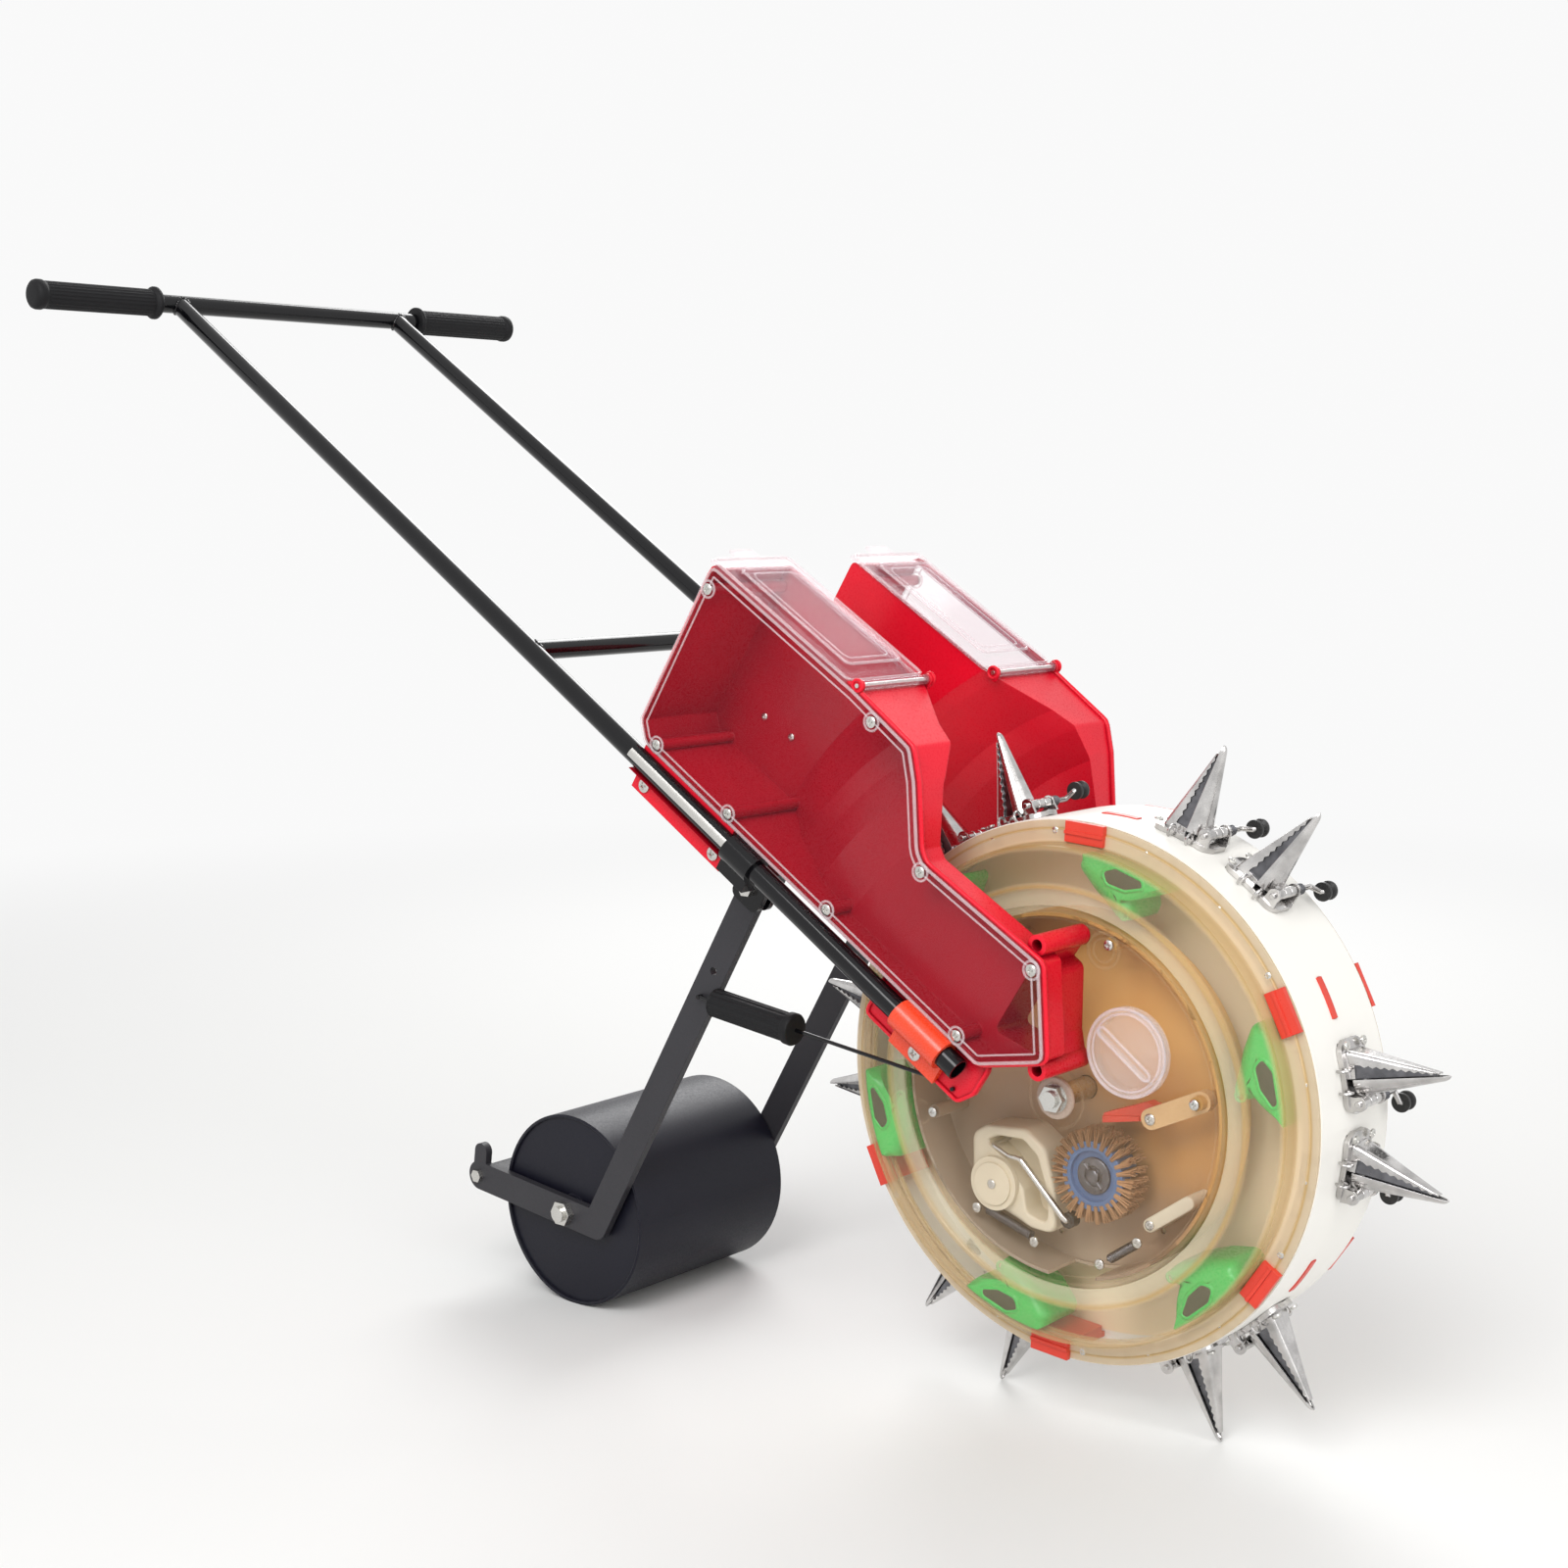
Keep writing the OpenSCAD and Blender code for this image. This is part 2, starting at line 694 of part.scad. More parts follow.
// a spring drawn between two posts in the pan
module post_spring(a, b, turns) {
    d = b - a;
    gap = 2.6;
    translate([a[0], -66, a[1]]) rotate([0, 90 - atan2(d[1], d[0]), 0]) translate([0, 0, gap + 0.9])
        coil(turns, 3.4, norm(d) - 2 * gap - 1.8, 0.9);
}

module lever_springs() {
    color("dimgray") in_frame() {
        post_spring(spring_posts[0], spring_posts[1], 15);
        post_spring(spring_posts[2], spring_posts[3], 9);
    }
}

module chamber_screws() {
    color("silver") in_frame() {
        both_sides() for (c = pan_posts) screw(c, 2, face_y, 14, 4);
        for (c = spring_posts) {
            peg(c, 2.5, pan_back - 1, 71);
            peg(c, 4.5, 70.5, 73.5);
        }
        screw(meter_c, 2, 73, 18, 4);
        screw(wiper_pin, 2, 68, 20, 4.5);
    }
}

// the bar across the cap that a hand turns it by
module cap_bar(half, y0, y1) {
    link(cap_c + polar(half, -37), cap_c + polar(half, 143), 4.5, y0, y1);
}

module cleanout_cap() {
    color("white") in_frame() difference() {
        union() {
            peg(cap_c, cap_r, face_y + pass_gap, face_y + 8);
            peg(cap_c, cap_hole - run_fit, disc_in - 4, face_y + 1);
            cap_bar(cap_r - 12, face_y + 3, face_y + 12);
        }
        difference() {
            peg(cap_c, cap_r - 5, face_y + 4, face_y + 9);
            cap_bar(cap_r - 8, face_y, face_y + 20);
        }
    }
}

// Wheel

tab_a = 25;
tab_half = 18;
hub_r = 30;
drum_in = drum_r - drum_wall;

module drum() {
    color("ivory") in_frame() difference() {
        union() {
            turned([[12, -bearing_y1], [hub_r, -bearing_y1], [hub_r, -3], [drum_in, -3],
                [drum_in, drum_wall - drum_half], [lip_r, drum_wall - drum_half], [lip_r, -drum_half],
                [drum_r, -drum_half], [drum_r, drum_half], [lip_r, drum_half], [lip_r, drum_half - drum_wall],
                [drum_in, drum_half - drum_wall], [drum_in, 3], [hub_r, 3], [hub_r, bearing_y1],
                [12, bearing_y1]]);
            difference() {
                slab(gear_outline(hub_teeth, tooth_m, brush_a), 2, 15);
                peg([0, 0], hub_r - 2, 0, 20);
            }
        }
        both_sides() peg([0, 0], bearing_r + seat_fit, bearing_y0, bearing_y1 + 1);
        for (i = [0:11]) at_opener(i) {
            translate([0, 0, rim_r]) cylinder(r = 9, h = 20);
            for (y = [-14, 14]) translate([-bolt_back, y, rim_r - 6]) cylinder(r = 2 + seat_fit, h = 30);
        }
        at_sixth(tab_a) {
            translate([rim_r, -8.6, -tab_half - 0.05]) cube([20, 5.2, 2 * tab_half + 0.1]);
            both_sides() translate([lip_r - 1, -drum_half - 1, -tab_half - 0.05])
                cube([12, 7, 2 * tab_half + 0.1]);
        }
        for (a = [10, 33, 50]) at_sixth(a) both_sides() peg([rim_r, 0], 1.6 + seat_fit, 50, 60);
    }
}

module bearings() {
    color("silver") in_frame() both_sides() difference() {
        peg([0, 0], bearing_r, bearing_y0, bearing_y1);
        peg([0, 0], axle_r + run_fit, 0, 40);
        peg([0, 0], bearing_r - 3, bearing_y1 - 1, 40);
    }
}

bead_r = disc_r + 16.5;

module ring() {
    difference() {
        turned([[pan_r - 3, drum_half], [drum_r - 1, drum_half], [drum_r - 1, flange_y], [pan_r, flange_y],
            [pan_r, face_y], [bead_r + 2.5, face_y], [bead_r + 1.5, face_y + 1.5],
            [bead_r - 1.5, face_y + 1.5], [bead_r - 2.5, face_y], [disc_r + 1.5, face_y],
            [disc_r + 1.5, disc_in], [pan_r - 3, disc_in]]);
        at_sixth(tab_a) translate([lip_r - 1, -flange_y - 1, -tab_half - 0.05])
            cube([12, 5, 2 * tab_half + 0.1]);
        for (a = [10, 33, 50]) at_sixth(a) peg([rim_r, 0], 1.6 + seat_fit, 50, 60);
    }
}

module near_ring() {
    color("wheat") in_frame() ring();
}

module far_ring() {
    color("wheat") in_frame() mirror([0, 1, 0]) ring();
}

guide_r = pan_r - 3 - seat_fit;
guide_line = concat(
    [for (a = [1.5:4.5:24]) polar(guide_r, a)],
    [polar(guide_r - 14, 25.5), polar(guide_r - 32, 20), polar(guide_r - 45, 11.5), polar(guide_r - 45, 7),
     polar(guide_r - 32, 7), polar(guide_r - 23, 9), polar(guide_r - 13, 4), polar(guide_r - 7, 1.5)]);
guide_hole = [polar(guide_r - 6, 7), polar(guide_r - 6, 17), polar(guide_r - 17, 18), polar(guide_r - 17, 8)];

module seed_guides() {
    color("limegreen") in_frame() both_sides() at_sixth(0) difference() {
        slab(guide_line, 22, disc_in - 1);
        slab(guide_hole, 30, 80);
    }
}

module tab(lip) {
    translate([lip_r, -flange_y - 1, -tab_half]) cube([10.9, flange_y - 8, 2 * tab_half]);
    translate([lip_r - 2, -flange_y - 5, -tab_half - 1]) cube([18, 5, 2 * tab_half + 2]);
    translate([lip_r + 5, -flange_y - 6.5, -tab_half - 1]) cube([3, 2.5, 2 * tab_half + 2]);
    translate([rim_r, -9.5, -tab_half]) cube([lip, 6, 2 * tab_half]);
}

module ring_tabs() {
    color("orangered") in_frame() at_sixth(tab_a) {
        difference() {
            tab(9.2);
            translate([lip_r + 10.9, -20, -30]) cube([20, 11.5, 60]);
        }
        mirror([0, 1, 0]) tab(3.9);
    }
}

module rim_screws() {
    color("gray") in_frame() {
        for (a = [10, 33, 50]) at_sixth(a) both_sides() screw([rim_r, 0], 1.6, flange_y, 8, 3.2);
        for (i = [0:11]) at_opener(i) for (y = [-14, 14]) translate([-bolt_back, y, base_z - 12]) {
            cylinder(r = 2, h = 14);
            translate([0, 0, 12]) cylinder(r = 3.2, h = 3, $fn = 6);
        }
    }
}

// Openers

base_z = drum_r + 5;
jaw_base = base_z + 2.5;

module fixed_jaw() {
    difference() {
        union() {
            translate([-31, -20, drum_r - 8]) cube([61, 40, base_z - drum_r + 8]);
            slab([[-23, base_z - 1], [0.6, base_z - 1], [0.6, tip_r - 8], [-1.6, tip_r - 8]],
                -beak_r, beak_r);
            both_sides() {
                slab([[13.5, base_z - 1], [26.5, base_z - 1], [26, hinge_r], [14, hinge_r]], 15, 18);
                peg([hinge_x, hinge_r], 6, 15, 18);
            }
        }
        translate([0, 50, 0]) rotate([90, 0, 0]) cylinder(r = drum_r + seat_fit, h = 100, $fn = 128);
        translate([0, 0, rim_r]) cylinder(r = 9, h = 24);
        slab([[-20.2, base_z - 0.5], [1, base_z - 0.5], [1, tip_r - 12], [-0.8, tip_r - 16]],
            2.2 - beak_r, beak_r - 2.2);
        rotate([0, 0, 90]) both_sides() slab([[3.4, tip_r - 7], [beak_r, base_z + 2],
            [beak_r + 9, base_z + 2], [beak_r + 9, tip_r - 7]], -20.6, 40);
        for (z = [base_z + 11:8:tip_r - 21]) slab([[1, z], [-4, z + 3], [1, z + 6]], -30, 30);
        peg([hinge_x, hinge_r], 2.6 + run_fit, -30, 30);
        for (y = [-14, 14]) translate([-bolt_back, y, rim_r - 6]) cylinder(r = 2 + seat_fit, h = 30);
    }
}

module fixed_jaws() {
    color("gainsboro") in_frame() for (i = [0:11]) at_opener(i) fixed_jaw();
}

module jaw_springs() {
    color("gray") in_frame() for (i = [0:11]) at_opener(i)
        translate([hinge_x, 18.7, hinge_r]) rotate([-90, 0, 0]) coil(2, 4.1, 4.4, 0.6);
}

module moving_jaw(i) {
    color("gainsboro") in_frame() at_opener(i) {
        difference() {
            union() {
                translate([tip_in, 0, jaw_base])
                    cylinder(r1 = beak_r, r2 = tip_out - tip_in, h = tip_r - jaw_base);
                peg([hinge_x, hinge_r], 4.5, -14.4, 14.4);
                slab([[10, jaw_base + 0.5], [hinge_x, jaw_base + 0.5], [hinge_x, hinge_r + 4.4],
                    [12, hinge_r + 10]], -6, 6);
            }
            translate([tip_in, 0, jaw_base - 0.1])
                cylinder(r1 = beak_r - sheet, r2 = 0.8, h = tip_r - jaw_base - 3);
            translate([tip_in - 40, -20, jaw_base - 10]) cube([40, 40, 120]);
        }
        peg([hinge_x, hinge_r], 2.6, -45, 21);
        slab([[16.5, hinge_r - 2], [20, hinge_r - 4], [33, hinge_r + 0.5], [33, hinge_r + 7],
            [19, hinge_r + 4]], -44, -41);
        peg([31, hinge_r + 4], 5, -56, -43);
        peg([31, hinge_r + 4], 8, -46.5, -43.9);
        peg([31, hinge_r + 4], 8, -56, -53.4);
    }
}

// Press roller

roller = [-roller_x, roller_z];
arm_top = [pivot[0] * cos(tube_angle) + pivot[1] * sin(tube_angle),
    pivot[1] * cos(tube_angle) - pivot[0] * sin(tube_angle)];
arm_end = roller + [-131, 14.5];
arm_knee = roller + [43, -5];
spare_hole = arm_top + (arm_knee - arm_top) * 0.235;
stay_start = arm_top + (arm_knee - arm_top) * 0.305;
roller_axle_r = 8;
boss_r = 16;
barrel_t = 3;
barrel_in = roller_r - barrel_t;
end_y = roller_half - 2.5;

// a hollow drum with sunk end plates; the far one has a hole to fill the drum with water or sand
module press_roller() {
    color("darkslategray") in_frame() translate([roller[0], 0, roller[1]]) difference() {
        turned([[roller_axle_r + run_fit, -roller_half], [boss_r, -roller_half], [boss_r, -end_y],
            [barrel_in, -end_y], [barrel_in, -roller_half], [roller_r, -roller_half], [roller_r, roller_half],
            [barrel_in, roller_half], [barrel_in, end_y], [boss_r, end_y], [boss_r, roller_half],
            [roller_axle_r + run_fit, roller_half]]);
        turned([[boss_r, barrel_t - end_y], [barrel_in, barrel_t - end_y], [barrel_in, end_y - barrel_t],
            [boss_r, end_y - barrel_t]]);
        peg([0, 60], 7, -roller_half, 0);
    }
}

module roller_axle() {
    color("silver") in_frame()
        peg(roller, roller_axle_r, -arm_y - arm_t - 12, arm_y + arm_t + 12);
}

module arm() {
    difference() {
        union() {
            link(arm_top, arm_knee, arm_w / 2, arm_y, arm_y + arm_t);
            link(arm_knee, arm_end, arm_w / 2, arm_y, arm_y + arm_t);
            link(arm_end, arm_end + [4, 26], 9, arm_y, arm_y + arm_t);
        }
        peg(arm_top, 5 + seat_fit, 90, 130);
        peg(roller, roller_axle_r + seat_fit, 90, 130);
        peg(arm_end, 4 + seat_fit, 90, 130);
        peg(spare_hole, 4, 90, 130);
        peg(stay_start, wire_r + seat_fit, 90, 130);
    }
}

module near_arm() {
    color("dimgray") in_frame() arm();
}

module far_arm() {
    color("dimgray") in_frame() mirror([0, 1, 0]) arm();
}

washer_t = 2.5;
fork_in = arm_y - 6;
fork_out = arm_y + arm_t + 6;
fork_x = [pivot[0] - 16, pivot[0] + 20];

module arm_brackets() {
    color("black") in_frame() both_sides() on_tubes() difference() {
        union() {
            translate([fork_x[0], -tube_y, 0])
                rotate([0, 90, 0]) cylinder(r = grip_out, h = fork_x[1] - fork_x[0]);
            slab(upright(fork_x, [16, 29] + [1, 1] * pivot[1]), fork_in, tube_y + 6);
            slab(rounded(upright(fork_x, [-18, 28] + [1, 1] * pivot[1]), 8, 4), fork_in, fork_out);
        }
        translate([fork_x[0] - 40, -tube_y, 0]) rotate([0, 90, 0]) cylinder(r = bore_r, h = 100);
        slab(upright(fork_x + [-40, 40], [-30, 15.6] + [1, 1] * pivot[1]), arm_y, arm_y + arm_t);
        peg(pivot, 5 + seat_fit, fork_in - 10, fork_out + 20);
    }
}

module frame_bolts() {
    color("silver") in_frame() both_sides() {
        nut([0, 0], 12, axle_r, face_y + washer_t, face_y + washer_t + 7);
        difference() {
            peg([0, 0], 18, face_y, face_y + washer_t);
            peg([0, 0], axle_r + seat_fit, face_y - 1, face_y + washer_t + 1);
        }
        nut(roller, 13, roller_axle_r, arm_y + arm_t, arm_y + arm_t + 8);
        peg(arm_top, 5, fork_in - 8, fork_out + 1);
        hex_peg(arm_top, 8.5, fork_out, fork_out + 6);
        nut(arm_top, 8.5, 5, fork_in - 7, fork_in);
        peg(arm_end, 4, arm_y - 10, arm_y + arm_t + 1);
        hex_peg(arm_end, 7, arm_y + arm_t, arm_y + arm_t + 5);
    }
}

scrape_gap = 1;

module scraper() {
    edge = roller + polar(roller_r + scrape_gap, 174);
    color("dimgray") in_frame() difference() {
        union() {
            slab([edge, edge + [-2, -3], arm_end + [2, -8], arm_end + [-2, -8], arm_end + [-2, 8],
                arm_end + [2, 8]], -arm_y + 4, arm_y - 4);
            both_sides() link(arm_end, arm_end + [8, -2], 11, arm_y - 4, arm_y);
        }
        both_sides() peg(arm_end, 4 + seat_fit, 80, 130);
    }
}

stay_from = [stay_start[0], -arm_y - arm_t - 4, stay_start[1]];
stay_end = [stay_hole[0] * cos(tube_angle) + stay_hole[1] * sin(tube_angle),
    stay_hole[1] * cos(tube_angle) - stay_hole[0] * sin(tube_angle)];
stay_to = [stay_end[0], -132, stay_end[1]];

module stay_wire() {
    color("black") in_frame() {
        peg(stay_start, wire_r, arm_y - 3, arm_y + arm_t + 4, $fn = 24);
        knuckle(stay_from, wire_r);
        rod(stay_from, stay_to, wire_r);
        knuckle(stay_to, wire_r);
        peg(stay_end, wire_r, 132, 143, $fn = 24);
    }
}

module stay_grip() {
    d = stay_to - stay_from;
    u = d / norm(d);
    color("black") in_frame() translate(stay_from + 20 * u)
        rotate([0, acos(u[2]), atan2(u[1], u[0])]) difference() {
            union() {
                cylinder(r = 12.5, h = 106);
                for (k = [0:11])
                    rotate([0, 0, 30 * k]) translate([12, 0, 4]) cylinder(r = 2, h = 98, $fn = 16);
            }
            translate([0, 0, -1]) cylinder(r = wire_r + seat_fit, h = 120, $fn = 24);
        }
}

handlebar();
side_tubes();
cross_brace();
grips();
near_hopper();
far_hopper();
near_cover();
far_cover();
near_lid();
far_lid();
lid_pins();
hopper_screws();
tube_saddles();
tube_clamps();
axle();
near_disc();
far_disc();
far_chamber();
seed_chamber();
meter_housing();
meter_cap();
brush_core();
brush_bristles();
wiper();
wiper_arm();
wire_lever();
lever_knob();
lever_springs();
chamber_screws();
cleanout_cap();
drum();
bearings();
near_ring();
far_ring();
seed_guides();
ring_tabs();
rim_screws();
fixed_jaws();
jaw_springs();
moving_jaw(0);  // moving_jaw_01
moving_jaw(1);  // moving_jaw_02
moving_jaw(2);  // moving_jaw_03
moving_jaw(3);  // moving_jaw_04
moving_jaw(4);  // moving_jaw_05
moving_jaw(5);  // moving_jaw_06
moving_jaw(6);  // moving_jaw_07
moving_jaw(7);  // moving_jaw_08
moving_jaw(8);  // moving_jaw_09
moving_jaw(9);  // moving_jaw_10
moving_jaw(10);  // moving_jaw_11
moving_jaw(11);  // moving_jaw_12
press_roller();
roller_axle();
near_arm();
far_arm();
arm_brackets();
frame_bolts();
scraper();
stay_wire();
stay_grip();
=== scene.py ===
"""Looks of a walk-behind seed planter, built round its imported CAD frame.

Lengths are millimetres in the wheel's frame (axle at the origin, X forward, Z up, near side at -Y) until
row_frame() turns them into the frame's own metres.
"""
import json

import bmesh
import bpy
import numpy as np
from mathutils import Matrix


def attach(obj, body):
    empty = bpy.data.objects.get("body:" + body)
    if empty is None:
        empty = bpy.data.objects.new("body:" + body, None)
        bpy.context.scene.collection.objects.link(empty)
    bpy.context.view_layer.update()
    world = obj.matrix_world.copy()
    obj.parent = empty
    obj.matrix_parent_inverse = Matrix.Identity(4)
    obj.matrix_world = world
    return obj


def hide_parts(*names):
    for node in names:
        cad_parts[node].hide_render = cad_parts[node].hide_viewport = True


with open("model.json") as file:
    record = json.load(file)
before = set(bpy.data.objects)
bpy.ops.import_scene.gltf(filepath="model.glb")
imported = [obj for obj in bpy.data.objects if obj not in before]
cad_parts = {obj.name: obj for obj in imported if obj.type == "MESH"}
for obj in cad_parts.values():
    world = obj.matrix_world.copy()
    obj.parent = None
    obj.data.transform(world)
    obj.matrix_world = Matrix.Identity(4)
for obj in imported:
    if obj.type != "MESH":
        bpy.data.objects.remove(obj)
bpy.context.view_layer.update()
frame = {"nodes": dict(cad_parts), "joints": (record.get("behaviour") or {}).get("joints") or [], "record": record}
nodes = frame["nodes"]
hinges = {joint["name"]: np.array(joint.get("pos_m", (0, 0, 0))) for joint in frame["joints"]}
looks = {}

# Driving sizes
AXLE = hinges["wheel_spin"]
SIDES = (-1, 1)
TUBE_TILT = np.radians(33.4)
TUBE_R = 10.0
TUBE_Y = 153.5
TUBE_REACH = 1344.0
BRACE_AT = -670.0
BAR = TUBE_REACH * np.array([-np.cos(TUBE_TILT), np.sin(TUBE_TILT)])
BAR_HALF = 334.0
GRIP_LEN = 152.0
DRUM_R = 236.0
DRUM_HALF = 56.0
FLANGE_Y = 59.0
FACE_Y = 78.5
DISC_IN = 75.5
DISC_R = 163.0
PAN_R = 216.0
GUIDE_R = PAN_R - 3.5
TAB_ANGLE = 25.0
OPENERS = 12
PAIRS = 6
PAIR_STEP = 60
PAIR_HALF = 9.0
TIP_R = DRUM_R + 85.0
TIP_OUT, TIP_IN = 4.2, 1.2
WHEEL_PHASE = np.degrees(np.arctan(TIP_OUT / TIP_R) + np.arctan(TIP_IN / TIP_R)) / 2
HINGE_X = 20.0
HINGE_R = 248.0
BASE_Z = DRUM_R + 5.0
BEAK_R = 14.0
FOOT = np.array([31.0, HINGE_R + 4])
HOPPER_Y = 149.0
HOPPER_IN = 48.0
HOPPER_TOP = 201.0
COVER_Y = HOPPER_Y + 3
LID_Z = HOPPER_TOP + 0.4
LID_PIN = (-322, HOPPER_TOP + 4.5)
ROLLER_R = 98.0
ROLLER_HALF = 105.0
ROLLER, BRUSH, CAP = ((hinges[name] - AXLE)[[0, 2]] * 1000 for name in ("roller_spin", "brush_spin", "cap_turn"))
CAP_R = 38.0


# Frames

def row_frame(points):
    """Millimetres in the wheel's frame, moved to the axle's place and given in metres."""
    return np.asarray(points, float) / 1000 + AXLE


def pitched(points, c, s):
    """Points turned from z towards x by an angle, given as its cosine and sine."""
    x, y, z = np.moveaxis(np.asarray(points, float), -1, 0)
    return np.stack([x * c + z * s, y, z * c - x * s], -1)


def tube_frame(points):
    """Turns points of the tubes' frame (x down the tubes, z off them) by their tilt about the axle."""
    return pitched(points, np.cos(TUBE_TILT), np.sin(TUBE_TILT))


def wheel_frame(points, angle):
    """Turns points whose x is radial and z is tangential to a place at an angle round the axle."""
    angle = np.radians(angle)
    return pitched(points, np.cos(angle), -np.sin(angle))


def opener_frame(points, number):
    """Turns points of one opener's frame (z outward, x ahead as the wheel rolls) to its place on the rim."""
    half = PAIR_HALF if number % 2 == 0 else -PAIR_HALF
    angle = np.radians(PAIR_STEP * (number // 2) + half + WHEEL_PHASE)
    return pitched(points, np.sin(angle), np.cos(angle))


def moved(shape, place, *where):
    """A shape with its vertices put through one of the frames."""
    vertices, faces = shape
    return place(vertices, *where), faces


# Meshes

def grid(x, y, z):
    """Points from coordinates that change by row, by column or not at all."""
    return np.stack(np.broadcast_arrays(x, y, z), -1)


def surface(points, closed=False, open_ended=False):
    """Vertices and faces of a grid of points whose columns join in a ring; its rows join too if it is closed, else
    one face caps each end unless they stay open."""
    points = np.asarray(points)
    rows, columns = points.shape[:2]
    i, j = np.arange(rows if closed else rows - 1)[:, None], np.arange(columns)
    top, bottom, right = i * columns, (i + 1) % rows * columns, (j + 1) % columns
    quads = np.stack([top + j, bottom + j, bottom + right, top + right], -1).reshape(-1, 4)
    faces = list(map(tuple, quads.tolist()))
    if not closed and not open_ended:
        faces.append(tuple(range(columns)))
        faces.append(tuple(range((rows - 1) * columns, rows * columns)))
    return points.reshape(-1, 3), faces


def pile(shapes):
    """Several surfaces as one list of vertices and faces."""
    starts = np.cumsum([0] + [len(points) for points, _ in shapes])
    vertices = np.concatenate([points for points, _ in shapes])
    faces = [tuple(v + start for v in face) for start, (_, some) in zip(starts, shapes) for face in some]
    return vertices, faces


def shown(name, data):
    """A new object in the scene."""
    obj = bpy.data.objects.new(name, data)
    bpy.context.scene.collection.objects.link(obj)
    return obj


def piece(name, shape, body, slot, stands_for=(), look=None, smooth=40):
    """A mesh object from a shape in the wheel's frame, with faces outward, that rides on a body; it has its slot's
    own look unless another is named."""
    vertices, faces = shape
    mesh = bpy.data.meshes.new(name)
    mesh.from_pydata(row_frame(vertices).tolist(), [], faces)
    work = bmesh.new()
    work.from_mesh(mesh)
    bmesh.ops.remove_doubles(work, verts=work.verts, dist=1e-6)
    bmesh.ops.dissolve_degenerate(work, edges=work.edges, dist=1e-7)
    bmesh.ops.recalc_face_normals(work, faces=work.faces)
    work.to_mesh(mesh)
    work.free()
    mesh.shade_smooth()
    mesh.set_sharp_from_angle(angle=np.radians(smooth))
    mesh.materials.append(looks[look or slot])
    obj = shown(name, mesh)
    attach(obj, body)
    if stands_for:
        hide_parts(*stands_for)


def unit(vectors):
    """Vectors brought to a length of one."""
    vectors = np.asarray(vectors, float)
    return vectors / np.linalg.norm(vectors, axis=-1, keepdims=True)


def full_turn(steps):
    """Equal steps round a circle, in radians."""
    return np.linspace(0, 2 * np.pi, steps, endpoint=False)


def ring_of(steps):
    """Cosines and sines of equal steps round a circle."""
    return np.cos(full_turn(steps)), np.sin(full_turn(steps))


def turned(profile, steps, centre=(0, 0), closed=True):
    """A profile of radius and y carried round an axis along y; closed, it ends where it began."""
    radius, along = np.asarray(profile, float).T[..., None]
    c, s = ring_of(steps)
    return surface(grid(radius * c + centre[0], along, radius * s + centre[1]), closed)


def tube(path, radius, sides=12, closed=False, side=(0, 1, 0)):
    """A circle carried along a path; side is a direction that the path never runs along."""
    path = np.asarray(path, float)
    if closed:
        tangent = unit(np.roll(path, -1, 0) - np.roll(path, 1, 0))
    else:
        tangent = unit(np.gradient(path, axis=0))
    across = unit(np.cross(tangent, side))
    return swept(path, across, np.cross(tangent, across), radius, sides, closed)


def swept(path, across, other, radius, sides, closed=False):
    """Circles round the points of a path, each in the plane of two directions given for that point."""
    c, s = ring_of(sides)
    reach = np.broadcast_to(np.asarray(radius, float), (len(path),))[:, None, None]
    points = path[:, None] + reach * (c[:, None] * across[:, None] + s[:, None] * other[:, None])
    return surface(points, closed)


def corner_round(line, radius):
    """A closed outline with each corner swapped for a curve of about a radius, cut short on short sides."""
    line = np.asarray(line, float)
    before, after = np.roll(line, 1, 0) - line, np.roll(line, -1, 0) - line
    a, b = unit(before), unit(after)
    half = np.arccos(np.clip((a * b).sum(-1), -1, 1)) / 2
    short = np.minimum(np.linalg.norm(before, axis=-1), np.linalg.norm(after, axis=-1))
    cut = np.minimum(radius / np.tan(half), 0.45 * short)
    t = np.linspace(0, 1, 7)[:, None]
    start, end = (line + a * cut[:, None])[:, None], (line + b * cut[:, None])[:, None]
    return ((1 - t) ** 2 * start + 2 * t * (1 - t) * line[:, None] + t ** 2 * end).reshape(-1, 2)


def spread(line, spacing):
    """Points at even spacing along a closed outline."""
    ends = np.concatenate([line, line[:1]])
    steps = np.linalg.norm(np.diff(ends, axis=0), axis=-1)
    at = np.concatenate([[0], np.cumsum(steps)])
    where = np.linspace(0, at[-1], max(8, int(at[-1] / spacing)), endpoint=False)
    return np.stack([np.interp(where, at, ends[:, k]) for k in (0, 1)], -1)


def rounded(line, radius, spacing):
    """A closed outline with its corners rounded, as points at even spacing."""
    return spread(corner_round(line, radius), spacing)


# Finishes

CLEAR_IOR = 1.49
# How far the painted shade in hollows looks for nearby surfaces, in metres.
SHADE_REACH = 0.14
MIX_FACTOR, MIX_A, MIX_B, MIX_RESULT = 0, 6, 7, 2


def shader(name):
    """The node tree and the Principled shader of a new look."""
    looks[name] = bpy.data.materials.new(name)
    looks[name].use_nodes = True
    tree = looks[name].node_tree
    return tree, tree.nodes["Principled BSDF"]


def feed(node, inputs):
    """Gives a node its inputs: another node's output is linked and a plain value is set."""
    for socket, value in inputs.items():
        if isinstance(value, bpy.types.NodeSocket):
            node.id_data.links.new(value, node.inputs[socket])
        else:
            node.inputs[socket].default_value = value


def added(tree, kind, inputs, operation=None):
    """A new node of a kind with its inputs."""
    node = tree.nodes.new(kind)
    if operation:
        node.operation = operation
    feed(node, inputs)
    return node


def own_place(tree):
    """The piece's own coordinates."""
    return tree.nodes.new("ShaderNodeTexCoord").outputs["Object"]


